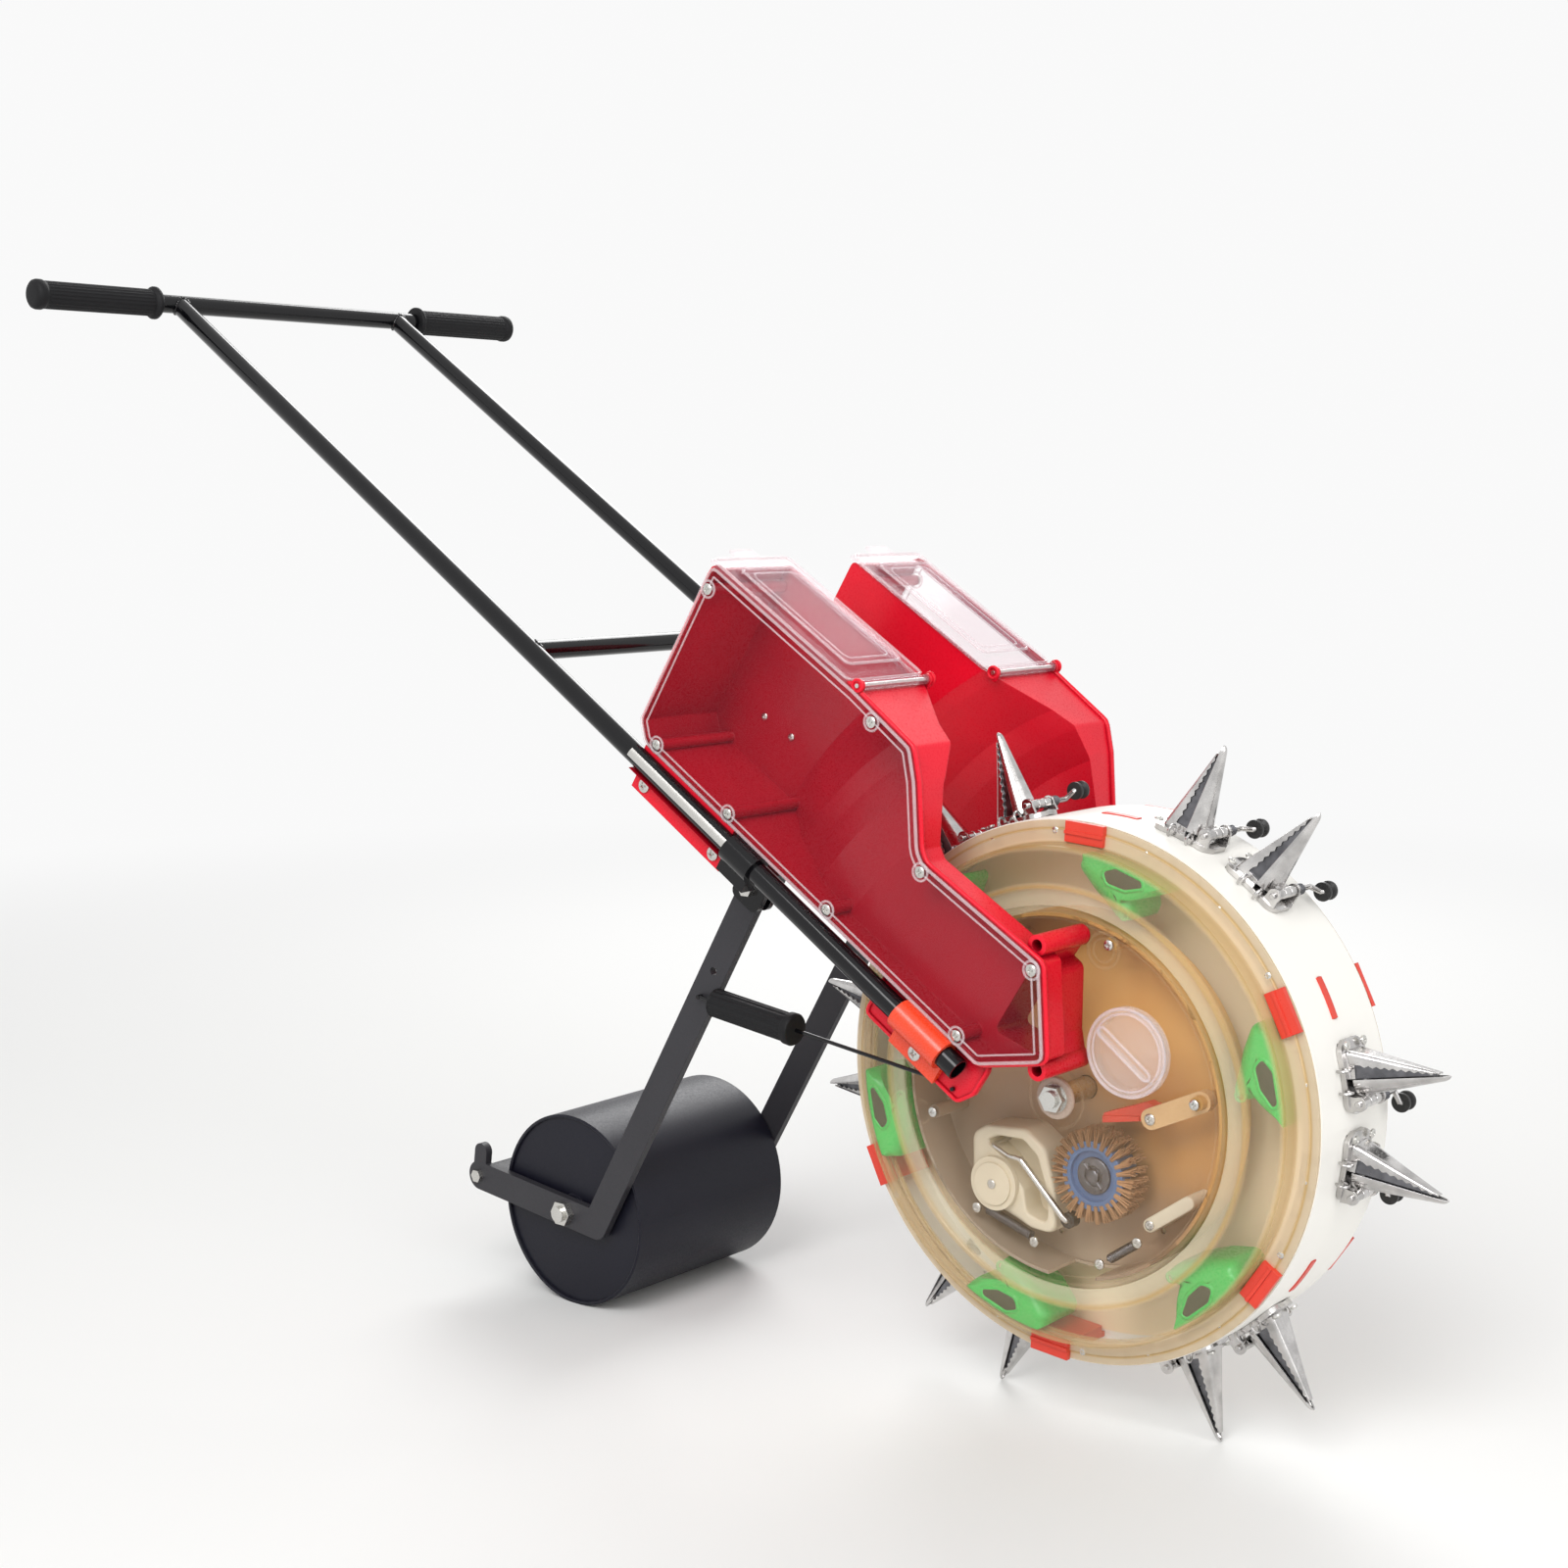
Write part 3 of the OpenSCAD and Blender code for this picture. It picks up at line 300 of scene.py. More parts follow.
def noise(tree, scale, detail=3.0, stretch=(1, 1, 1)):
    """A noise pattern on the piece's own coordinates; scale counts features a metre."""
    place = added(tree, "ShaderNodeMapping", {"Vector": own_place(tree), "Scale": stretch}).outputs["Vector"]
    pattern = added(tree, "ShaderNodeTexNoise", {"Vector": place, "Scale": scale, "Detail": detail})
    return pattern.outputs["Fac"]


def ramp(tree, value, stops):
    """A colour ramp over a value; stops are places and colours or greys."""
    node = added(tree, "ShaderNodeValToRGB", {"Fac": value})
    band = node.color_ramp
    while len(band.elements) < len(stops):
        band.elements.new(0.5)
    for element, (at, colour) in zip(band.elements, stops):
        element.position = at
        element.color = (*colour, 1) if np.ndim(colour) else (colour, colour, colour, 1)
    return node.outputs["Color"]


def about(tree, value, middle, swing):
    """A grey that wanders with a value by a swing about a middle, but not below 0.03."""
    return ramp(tree, value, [(0.3, max(middle - swing, 0.03)), (0.7, middle + swing)])


def bump(tree, shade, value, strength, distance, edge=0.0):
    """Bumps a shader by a value, over edges rounded in shading by edge millimetres."""
    node = added(tree, "ShaderNodeBump", {"Strength": strength, "Distance": distance, "Height": value})
    if edge:
        rounding = added(tree, "ShaderNodeBevel", {"Radius": edge / 1000})
        rounding.samples = 4
        feed(node, {"Normal": rounding.outputs["Normal"]})
    feed(shade, {"Normal": node.outputs["Normal"]})


def shades(tree, value, colour, low, high):
    """A ramp between two tones of a colour, given as factors of it."""
    dark, light = (tuple(np.clip(np.asarray(colour) * factor, 0, 1)) for factor in (low, high))
    return ramp(tree, value, [(0.3, dark), (0.7, light)])


def painted_shade(tree, tone, share, reach):
    """Painted shade: a tone that falls to a share of itself in hollows, by how open a point is within a reach in
    metres.
    """
    open_sky = added(tree, "ShaderNodeAmbientOcclusion", {"Distance": reach})
    open_sky.samples = 8
    grey = ramp(tree, open_sky.outputs["AO"], [(0.2, share), (0.85, 1.0)])
    both = tree.nodes.new("ShaderNodeMix")
    both.data_type = "RGBA"
    both.blend_type = "MULTIPLY"
    feed(both, {MIX_FACTOR: 1, MIX_A: tone, MIX_B: grey})
    return both.outputs[MIX_RESULT]


def between(tree, value, low, high, ease="LINEAR"):
    """Runs from 0 to 1 while a value goes from low to high."""
    share = added(tree, "ShaderNodeMapRange", {"Value": value, "From Min": low, "From Max": high})
    share.interpolation_type = ease
    return share.outputs["Result"]


def length_of(tree, vector):
    """The length of a vector."""
    return added(tree, "ShaderNodeVectorMath", {0: vector}, "LENGTH").outputs["Value"]


def lean(tree, toward, low, high):
    """Runs from 0 to 1 between two distances from the axle, in millimetres, along a direction."""
    along = added(tree, "ShaderNodeVectorMath", {0: own_place(tree), 1: toward}, "DOT_PRODUCT")
    start = float(np.dot(AXLE, toward))
    return between(tree, along.outputs["Value"], start + low / 1000, start + high / 1000)


def from_axle(tree, low, high):
    """Runs from 0 to 1 between two distances from the axle's line, in millimetres."""
    centre = added(tree, "ShaderNodeMapping", {
        "Vector": own_place(tree), "Location": (-AXLE[0], 0, -AXLE[2]), "Scale": (1, 0, 1)})
    return between(tree, length_of(tree, centre.outputs["Vector"]), low / 1000, high / 1000)


def finish(name, colour, rough, grain=500, depth=0.15, tones=(0.9, 1.06), patch=14, metal=0.0, coat=0.0,
           edge=0.8, stretch=(1, 1, 1), swing=0.08, hollow=1.0, gloss=0.5):
    """A solid finish: slow tone patches, wandering roughness and a fine grain as bump; hollow below 1 paints shade
    into deep places, darkening them to that share, and gloss is how much of the studio it mirrors."""
    tree, shade = shader(name)
    fine = noise(tree, grain, stretch=stretch)
    tone = shades(tree, noise(tree, patch, 4), colour, *tones)
    if hollow < 1:
        tone = painted_shade(tree, tone, hollow, SHADE_REACH)
    feed(shade, {"Base Color": tone, "Roughness": about(tree, fine, rough, swing), "Metallic": metal,
                 "Specular IOR Level": gloss})
    if coat:
        feed(shade, {"Coat Weight": coat, "Coat Roughness": 0.08})
    bump(tree, shade, fine, depth, 0.0004, edge)


def clear(name, colour, alpha, rim_alpha, gloss=0.5):
    """A clear moulded sheet: see-through face on, denser at a glancing angle, with faint flow marks."""
    tree, shade = shader(name)
    slow = noise(tree, 90, 2)
    glance = added(tree, "ShaderNodeLayerWeight", {"Blend": 0.35}).outputs["Facing"]
    feed(shade, {"IOR": CLEAR_IOR, "Specular IOR Level": gloss,
                 "Base Color": shades(tree, slow, colour, 0.94, 1.03),
                 "Roughness": ramp(tree, slow, [(0.2, 0.06), (0.8, 0.12)]),
                 "Alpha": ramp(tree, glance, [(0.45, alpha), (0.97, rim_alpha)])})
    bump(tree, shade, slow, 0.08, 0.0006)


def graded(name, stops, toward, low, high, rough):
    """A moulded piece whose colour changes along a direction through the axle, with patches and with painted shade
    in deep places.
    """
    tree, shade = shader(name)
    fine = noise(tree, 300)
    parts = {0: noise(tree, 18, 4), 1: 0.3, 2: lean(tree, toward, low, high)}
    wander = added(tree, "ShaderNodeMath", parts, "MULTIPLY_ADD").outputs[0]
    tone = painted_shade(tree, ramp(tree, wander, stops), 0.7, 0.05)
    feed(shade, {"Base Color": tone, "Roughness": about(tree, fine, rough, 0.06)})
    bump(tree, shade, fine, 0.08, 0.0004, 0.8)


def banded(name, bands, low, high):
    """A turned clear piece whose colour and density change with the distance from the axle, in millimetres."""
    tree, shade = shader(name)
    share = from_axle(tree, low, high)
    slow = noise(tree, 60, 2)
    at = [((radius - low) / (high - low), colour, alpha) for radius, colour, alpha in bands]
    feed(shade, {"IOR": CLEAR_IOR, "Base Color": ramp(tree, share, [(t, colour) for t, colour, _ in at]),
                 "Alpha": ramp(tree, share, [(t, alpha) for t, _, alpha in at]),
                 "Roughness": ramp(tree, slow, [(0.2, 0.12), (0.8, 0.16)])})
    bump(tree, shade, slow, 0.015, 0.0003)


def stepped_painted_light(name, inner, outer, radius, rough):
    """A solid finish with one colour inside a radius about the axle, in millimetres, and one outside; the brighter
    inside colour is painted light.
    """
    tree, shade = shader(name)
    share = from_axle(tree, radius - 2, radius + 2)
    feed(shade, {"Base Color": ramp(tree, share, [(0.4, inner), (0.6, outer)]),
                 "Roughness": about(tree, noise(tree, 14), rough, 0.06)})
    bump(tree, shade, noise(tree, 500), 0.06, 0.0004, 0.8)


finish("black_paint", (0.003, 0.003, 0.004), 0.14, grain=900, depth=0.002, coat=0.4, swing=0.04, gloss=0.16)
finish("grip_rubber", (0.006, 0.006, 0.007), 0.62, grain=1600, depth=0.3, gloss=0.25)
# hollow=0.42 paints shade into the deep insides of the hoppers.
finish("red_plastic", (0.8, 0.006, 0.026), 0.3, grain=700, depth=0.04, coat=0.05, edge=1.2, hollow=0.42, gloss=0.28)
finish("orange_plastic", (0.83, 0.06, 0.016), 0.28, grain=700, depth=0.06, coat=0.2)
finish("tab_red", (0.72, 0.045, 0.022), 0.35, grain=600, depth=0.06)
finish("green_plastic", (0.0, 0.5, 0.075), 0.3, depth=0.06, edge=1.5)
# Near-black green that stands for the shadowed inside of the guides' feed holes: painted shade.
finish("scoop_painted_shade", (0.001, 0.018, 0.006), 0.7)
# Inside the pan the drum is painted a brighter warm beige than its ivory outside: painted light that lifts the
# shade behind the ring.
stepped_painted_light("ivory_plastic", (1.0, 0.82, 0.58), (0.89, 0.87, 0.82), 225, 0.42)
finish("cream_plastic", (0.74, 0.66, 0.5), 0.4, grain=600, depth=0.08)
# The amber chamber grades from brown-grey low down to bright orange towards the upper front: painted light. Its
# deep places get painted shade.
graded("amber_plastic", [(0.15, (0.5, 0.4, 0.3)), (0.5, (0.5, 0.31, 0.18)), (0.8, (0.74, 0.37, 0.1)),
                         (1.0, (0.8, 0.45, 0.14))], (0.6, 0, 0.8), -150, 150, 0.4)
finish("amber_post", (0.66, 0.42, 0.2), 0.3, depth=0.05)
finish("boss_plastic", (0.5, 0.38, 0.3), 0.25, depth=0.04)
finish("blue_plastic", (0.08, 0.16, 0.32), 0.45, grain=900)
finish("bristle_brown", (0.42, 0.22, 0.1), 0.6, grain=1500, depth=0.2, tones=(0.7, 1.2))
finish("knob_black", (0.012, 0.012, 0.012), 0.4, grain=900, depth=0.1)
finish("zinc", (0.62, 0.61, 0.58), 0.26, grain=1500, depth=0.05, metal=1.0, edge=0.4)
finish("sheet_steel", (0.6, 0.585, 0.575), 0.2, grain=250, depth=0.12, metal=1.0, edge=0.5, stretch=(1, 1, 9),
       tones=(0.7, 1.15), patch=55)
# Dark steel: on the openers' inner sheets this darkness is painted shade.
finish("panel_steel", (0.13, 0.13, 0.14), 0.34, grain=250, metal=1.0, tones=(0.6, 1.5), patch=70)
finish("spring_steel", (0.13, 0.13, 0.14), 0.3, grain=900, depth=0.05, metal=1.0)
finish("roller_paint", (0.007, 0.007, 0.014), 0.42, depth=0.06, gloss=0.25)
finish("arm_paint", (0.03, 0.029, 0.034), 0.45, grain=700, depth=0.2, gloss=0.35)
clear("clear_plastic", (0.75, 0.16, 0.22), 0.03, 0.4, gloss=0.25)
clear("clear_lid", (0.9, 0.56, 0.66), 0.08, 0.45, gloss=0.35)
clear("amber_clear", (0.8, 0.58, 0.36), 0.05, 0.5)
# Near-white clear beads: on the covers and lids their whiteness is a painted highlight along the edges.
clear("rim_clear_highlight", (0.95, 0.84, 0.87), 0.25, 0.75)
clear("cap_clear", (0.95, 0.88, 0.86), 0.2, 0.7)
CREAM, GOLD, PALE, PAINTED_LIGHT_WARM = (0.84, 0.67, 0.45), (0.64, 0.41, 0.14), (0.9, 0.79, 0.56), (1.0, 0.78, 0.5)
# The warm band from 184 to 210 mm is painted light that lifts the shaded pan seen through the ring.
banded("ring_plastic", [(164, PALE, 0.3), (176, PALE, 0.25), (180, GOLD, 0.45), (184, PAINTED_LIGHT_WARM, 0.07),
                        (210, PAINTED_LIGHT_WARM, 0.07), (215, GOLD, 0.42), (218, CREAM, 0.6), (226, CREAM, 0.6),
                        (228, GOLD, 0.7), (230, CREAM, 0.6)], 160, 240)
looks["bristle"] = looks["bristle_brown"]
OTHER_LOOKS = {"near_lid": "clear_lid", "far_lid": "clear_lid", "cleanout_cap": "cap_clear",
               "wiper_arm": "amber_post"}
for row in frame["record"]["subparts"]:
    mesh = nodes[row["node"]].data
    mesh.materials.clear()
    mesh.materials.append(looks[OTHER_LOOKS.get(row["node"], row["material_slot"])])


# Shapes shared by several pieces

def plate(points, thick):
    """A sheet of a thickness: a grid of points moved both ways along its own normals and closed."""
    down, right = np.gradient(points, axis=0), np.gradient(points, axis=1)
    normal = unit(np.cross(down, right) + 1e-9)
    both = np.concatenate([points + normal * thick / 2, (points - normal * thick / 2)[:, ::-1]], 1)
    rows, columns = both.shape[:2]
    vertices, faces = surface(both, open_ended=True)
    j = np.arange(points.shape[1] - 1)
    end = np.stack([j, j + 1, columns - 2 - j, columns - 1 - j], -1)
    faces += map(tuple, np.concatenate([end, end + (rows - 1) * columns]).tolist())
    return vertices, faces


def shift_line(line, distance):
    """A closed outline moved outward by a distance along its own normals."""
    step = np.roll(line, -1, 0) - np.roll(line, 1, 0)
    normal = unit(np.stack([step[:, 1], -step[:, 0]], -1))
    x, z = line.T
    area = (x * np.roll(z, -1) - z * np.roll(x, -1)).sum()
    return line + normal * distance * np.sign(area)


def raise_line(line, y):
    """An outline in x and z as points at a distance y."""
    x, z = np.asarray(line, float).T
    return grid(x, y, z)


def moulded(line, y0, y1, edge, side=-1, steps=5):
    """An outline carried from one distance to another on a side, its outer edge rounded by a quarter circle."""
    turn = np.linspace(0, np.pi / 2, steps + 1)
    levels = [raise_line(line, side * y0), raise_line(line, side * (y1 - edge))]
    levels += [raise_line(shift_line(line, -edge * (1 - np.cos(a))), side * (y1 - edge + edge * np.sin(a)))
               for a in turn[1:]]
    return surface(levels)


def loop_bead(line, y, radius, sides=8):
    """A round bead along a closed outline in x and z at a distance y."""
    return tube(raise_line(line, y), radius, sides, closed=True)


def polar(radius, angle):
    """Points in x and z from radii and angles in degrees."""
    angle = np.radians(angle)
    return np.stack([radius * np.cos(angle), radius * np.sin(angle)], -1)


def bar_line(a, b, radius):
    """The outline of a bar with round ends between two points."""
    a, b = np.array([a, b], float)
    turn = np.radians(np.linspace(-90, 90, 9))
    along = unit(b - a)
    across = np.array([-along[1], along[0]])
    end = radius * (np.cos(turn)[:, None] * along + np.sin(turn)[:, None] * across)
    return np.concatenate([b + end, a - end])


def circle(centre, radius, steps=32):
    """Points in x and z round a circle."""
    return np.asarray(centre) + radius * np.stack(ring_of(steps), -1)


def bead_rings(rows, y):
    """Round beads at a distance y, from rows of a middle, a radius, a count of steps and a thickness."""
    return pile([loop_bead(circle(middle, radius, steps), y, bead) for middle, radius, steps, bead in rows])


def straight(a, b, radius):
    """A round bar between two points with short chamfers."""
    a, b = np.array([a, b], float)
    along = unit(b - a)
    path = np.stack([a, a + along * 0.6, a + along * 0.7, b - along * 0.7, b - along * 0.6, b])
    side = (1, 0, 0) if abs(along[0]) < 0.7 else (0, 0, 1)
    return tube(path, radius - np.array([0.6, 0, 0, 0, 0, 0.6]), 16, False, side)


def screw_heads(places, axis, radius):
    """Round heads with a cross recess: a shallow dome over a disc, sunk where four arms run to its middle."""
    places = np.asarray(places, float)
    rho = np.array([0, 0.16, 0.34, 0.5, 0.58, 0.8, 0.95, 1.0, 1.0])[:, None]
    turn = full_turn(24)
    arm = np.where(np.cos(4 * turn) > 0.7, 1.0, 0.0) * (rho < 0.55) + (rho < 0.2)
    height = 0.5 * np.sqrt(1 - 0.8 * rho ** 2) - 0.3 * np.minimum(arm, 1)
    height[-1] = -0.15
    local = grid(rho * np.cos(turn), rho * np.sin(turn), height)
    axis = unit(axis)
    u = unit(np.cross(axis, (1.0, 0, 0) if abs(axis[0]) < 0.7 else (0, 0, 1.0)))
    points = local @ np.stack([u, np.cross(axis, u), axis]) * radius + places[:, None, None]
    return pile([surface(head) for head in points])


def screw_rows(rows, place=np.asarray, sides=SIDES):
    """Heads that face out along y, from rows of spots in x and z, a distance and a radius; place is their frame."""
    return pile([screw_heads(place(raise_line(spots, side * y)), (0, side, 0), radius)
                 for spots, y, radius in rows for side in sides])


def helix(start, end, radius, turns, wire, hook=0.0):
    """A wire coiled round the line from start to end, with straight ends of a length called hook."""
    start, end = np.array([start, end], float)
    along = unit(end - start)
    length = np.linalg.norm(end - start) - 2 * hook
    side = unit(np.cross(along, (0.13, 0.9, 0.31)))
    other = np.cross(along, side)
    angle = np.linspace(0, 2 * np.pi * turns, 14 * turns + 1)
    run = hook + length * angle / angle[-1]
    coil = radius * (np.cos(angle)[:, None] * side + np.sin(angle)[:, None] * other)
    path = start + along * run[:, None] + coil
    if hook:
        path = np.concatenate([[start, start + along * hook * 0.7], path, [end - along * hook * 0.7, end]])
    radial = path - start - ((path - start) @ along)[:, None] * along
    step = unit(np.gradient(path, axis=0))
    away = np.where(np.linalg.norm(radial, axis=1)[:, None] > 0.5 * radius, radial, side)
    across = unit(away - (away * step).sum(1)[:, None] * step)
    return swept(path, across, np.cross(step, across), wire, 7)


# Handle

def handle_welds():
    """Beads along the curves in which two round tubes cross, with a ripple in their thickness."""
    c, s = ring_of(96)
    ripple = 1.5 + 0.3 * np.sin(20 * full_turn(96))
    brace_r = TUBE_R - 0.5
    reach = TUBE_Y - np.sqrt(TUBE_R ** 2 - (brace_r * s) ** 2)
    shapes = []
    for side in SIDES:
        at_bar = grid(np.sqrt((TUBE_R * c) ** 2 + 6) - TUBE_REACH, side * TUBE_Y + TUBE_R * c, TUBE_R * s)
        at_brace = grid(BRACE_AT + brace_r * c, side * reach, brace_r * s)
        shapes.append(tube(tube_frame(at_bar), ripple, 8, True, tube_frame((1, 0, 0))))
        shapes.append(tube(tube_frame(at_brace), ripple, 8, True))
    return pile(shapes)


def ridged_sleeve(foot, head, length, ridges, ridge, start, along, side):
    """A sleeve round an axis: its radius follows stations of length and radius, on from the foot and back from the
    head, with ridges along it wherever the third number of a station says so."""
    stations = foot + [(length - left, radius, share) for left, radius, share in head]
    at, radius, share = np.asarray(stations, float).T
    step = np.concatenate([[0], np.cumsum(np.hypot(np.diff(at), np.diff(radius)) + 1e-3)])
    fine = np.unique(np.concatenate([np.linspace(0, step[-1], 60), step]))
    at, radius, share = (np.interp(fine, step, values)[:, None, None] for values in (at, radius, share))
    turn = full_turn(8 * ridges)[:, None]
    reach = radius + share * ridge * np.maximum(np.cos(ridges * turn), -0.2)
    along, side = unit(along), unit(side)
    points = start + at * along + reach * (np.cos(turn) * side + np.sin(turn) * np.cross(along, side))
    return surface(points)


def bar_grip(side):
    """A rubber grip from its domed outer end to the ring at its inner end."""
    dome = [(0, 3, 0), (0.3, 9, 0), (1.2, 13, 0), (3, 15.2, 0), (5.5, 16, 0), (10, 16, 0), (12, 15.4, 0),
            (13.5, 14.4, 0), (17, 14.4, 1)]
    ring = [(12, 14.2, 1), (8, 14.2, 0), (6, 16.8, 0), (4.5, 17.8, 0), (1.8, 17.8, 0), (0.3, 16.6, 0), (0, 14, 0),
            (0, TUBE_R - 0.5, 0)]
    end = (BAR[0], side * BAR_HALF, BAR[1])
    return ridged_sleeve(dome, ring, GRIP_LEN, 24, 0.55, end, (0, -side, 0), (1, 0, 0))


# Hoppers, in the tubes' frame

COVER_LINE = rounded([[-516, HOPPER_TOP], [-516, 30], [-500, 14.6], [-46, 14.6], [4, 61], [-44, 127], [-182, 122],
                      [-192, 128], [-226, 175], [-246, 196], [-321, HOPPER_TOP]], 9, 5)
COVER_SCREWS = [[-508, 180], [-486, 22], [-381, 22], [-243, 22], [-75, 22], [-47, 118], [-180, 114.5], [-291, 190]]
PLATE_BOLTS = [[-483, -24], [-380, -24], [-103, -24]]
LUG_SCREWS = np.array([[-58, 133.5], [-1.2, 46.6]])
LOWER_PLATE = [[-168, -34], [-48, -34], [-38, -16], [-38, 17], [-168, 17]]


def cover_rims(side):
    """Two beads round a clear cover, one at its edge and one inside it, and a collar round each screw."""
    face = side * COVER_Y
    edges = [loop_bead(shift_line(COVER_LINE, out), face, bead) for out, bead in ((-1.2, 1.5), (-8, 0.9))]
    return pile(edges + [bead_rings([(spot, 7.6, 32, 1.1) for spot in COVER_SCREWS], face)])


def hopper_trim(side):
    """The hopper's rolled rim behind its cover, rolled ends round the lid's pin, a raised rim round the plate for
    the orange clamp, and webs from the two front lugs to the spout."""
    lip = loop_bead(shift_line(COVER_LINE, 0.6), side * (HOPPER_Y - 2.5), 2.6, 10)
    ends = [bead_rings([(LID_PIN, 5.2, 24, 1.5)], side * y) for y in (HOPPER_IN, HOPPER_Y)]
    rim = loop_bead(shift_line(rounded(LOWER_PLATE, 8, 4), -1.8), side * 140.6, 2.0)
    roots = LUG_SCREWS + np.array([[-0.8, -22.5], [-15.3, 16.5]])
    webs = [moulded(bar_line(lug, root, 5.5), FACE_Y + 0.3, 122, 1.2, side, 3)
            for lug, root in zip(LUG_SCREWS, roots)]
    return pile([lip] + ends + [rim] + webs)


def lid_frame(side):
    """Beads round a lid: at its edge, on the raised panel and inside that panel's border."""
    shapes = []
    for x0, x1, y0, y1, rise, radius in ((-519, -331, 47, 150, 3, 1.4), (-497, -349, 61, 136, 7, 1.3),
                                         (-489, -357, 69, 128, 7, 0.8)):
        x, y = rounded([[x0, y0], [x1, y0], [x1, y1], [x0, y1]], 7, 5).T
        shapes.append(tube(grid(x, side * y, LID_Z + rise), radius, 8, True, (0, 0, 1)))
    return pile(shapes)


def saddle_highlights():
    """A painted highlight: a bright strip on each tube over the saddle, an arc of an eighth of a turn carried along
    the tube.
    """
    x = np.linspace(-503, -360, 12)[:, None]
    turn = np.radians(np.linspace(-2, 42, 9))
    across, up = (TUBE_R + 0.6) * np.cos(turn), (TUBE_R + 0.6) * np.sin(turn)
    return pile([plate(grid(x, side * (TUBE_Y + across), up), 0.8) for side in SIDES])


def hopper_screws():
    """The heads on the covers, saddle strips, front lugs and inner walls of both hoppers, in the wheel's frame."""
    outside = [(COVER_SCREWS, COVER_Y, 5.2), (PLATE_BOLTS, 146, 6.5), (LUG_SCREWS, FACE_Y + 10, 4.5)]
    inside = [([[-349, 306.9], [-316, 288.9]], 51.3, 3.6)]
    return pile([screw_rows(outside, tube_frame), screw_rows(inside)])


# Wheel

def round_wheel(shapes):
    """Six copies of each shape round the wheel."""
    return pile([moved(shape, wheel_frame, WHEEL_PHASE + PAIR_STEP * k) for shape in shapes for k in range(PAIRS)])


def ring_shell(side):
    """A turned ring: flange with two steps, pan wall, face with a bead and a dished inner band."""
    profile = np.concatenate([
        [[PAN_R - 3, DRUM_HALF], [DRUM_R - 1, DRUM_HALF]],
        np.add((DRUM_R, FLANGE_Y), [[-1, -0.6], [-4, 0], [-8, 0], [-9, 1.2]]),
        np.add((PAN_R, FLANGE_Y), [[3, 1.2], [0.6, 2.2], [0, 6]]),
        np.add((PAN_R, FACE_Y), [[0, -4], [-1.2, -1.2], [-4, 0]]),
        np.add((DISC_R, FACE_Y), [[21, 0], [19.5, 1.6], [16, 1.8], [14, 0.2], [8, -0.4], [3, 0], [1.5, -0.4]]),
        [[DISC_R + 1.5, DISC_IN], [PAN_R - 5, DISC_IN], [PAN_R - 3, DISC_IN - 2]]])
    return turned(profile * (1, side), 192)


def rim_heads():
    """Small heads on both flanges and the two nuts on each opener's base plate."""
    rows = [(polar(DRUM_R - 10, start + PAIR_STEP * np.arange(PAIRS) + WHEEL_PHASE), FLANGE_Y, radius)
            for start, radius in ((10, 2.2), (33, 3.3), (50, 2.2))]
    nuts = [(-26.6, y, DRUM_R + 6.6) for y in (-14, 14)]
    out = (0, 0, 1)
    return pile([screw_rows(rows)] + [screw_heads(opener_frame(nuts, number), opener_frame(out, number), 4.0)
                                      for number in range(OPENERS)])


def guide_outline():
    """The guide's scoop: along the pan's wall, then back in two bends to its narrow mouth."""
    wall = np.arange(1.5, 24.1, 4.5)
    angle = np.concatenate([wall, [25.5, 20, 11.5, 7, 7, 9, 4, 1.5]])
    depth = np.concatenate([np.zeros(len(wall)), [14, 32, 45, 45, 32, 23, 13, 7]])
    return rounded(polar(GUIDE_R - depth, angle), 9, 2.5)


def guide_hole():
    """The feed hole's outline: a rounded window near the pan's wall."""
    depth, angle = np.array([3, 3, 10, 20, 19, 9]), np.array([6.5, 14, 17.5, 15.5, 10, 5.5])
    return rounded(polar(GUIDE_R - depth, angle), 7, 2)


def nearest_on(points, line):
    """The nearest point of an open line for each of some points."""
    a, b = line[:-1], line[1:]
    share = ((points[:, None] - a) * (b - a)).sum(-1) / ((b - a) ** 2).sum(-1)
    spot = a + np.clip(share, 0, 1)[..., None] * (b - a)
    best = np.linalg.norm(points[:, None] - spot, axis=-1).argmin(1)
    return spot[np.arange(len(points)), best]


def scoop(side):
    """A scoop: its outline drawn up from the pan's back, then over in a quarter round to a ridge along its middle,
    but upright at the pan's wall."""
    outline = guide_outline()
    ridge = polar(GUIDE_R - np.array([9.0, 16, 27, 40]), np.array([22, 17, 12, 9.3]))
    top, round_over = DISC_IN - 1.5, 15.0
    at_wall = np.clip((np.linalg.norm(outline, axis=1) - GUIDE_R + 5) / 4, 0, 1)
    drop = round_over * (1 - at_wall)
    inner = nearest_on(outline, ridge)
    levels = [raise_line(outline, side * 24.0)]
    levels += [raise_line(outline + (inner - outline) * (1 - np.cos(a)), side * (top - drop * (1 - np.sin(a))))
               for a in np.linspace(0, np.pi / 2, 8)]
    vertices, faces = surface(levels, open_ended=True)
    faces.append(tuple(range(len(outline))))
    return vertices, faces


def seed_guides():
    """Twelve scoops, each with a raised lip round its feed hole and an eye for the screw at its end."""
    eye = circle(polar(GUIDE_R - 38.0, 8.5), 4.2, 20)
    top = DISC_IN - 1.5
    return round_wheel([pile([scoop(side), loop_bead(guide_hole(), side * top, 1.6),
                              loop_bead(eye, side * (top - 2), 1.5)]) for side in SIDES])


def guide_mouth_shades():
    """Painted shade: a dark plug for the inside of each guide's feed hole, its top just over the guide's face."""
    hole = shift_line(guide_hole(), -0.5)
    return round_wheel([moulded(hole, DISC_IN - 6, DISC_IN - 0.9, 0.3, side, 2) for side in SIDES])


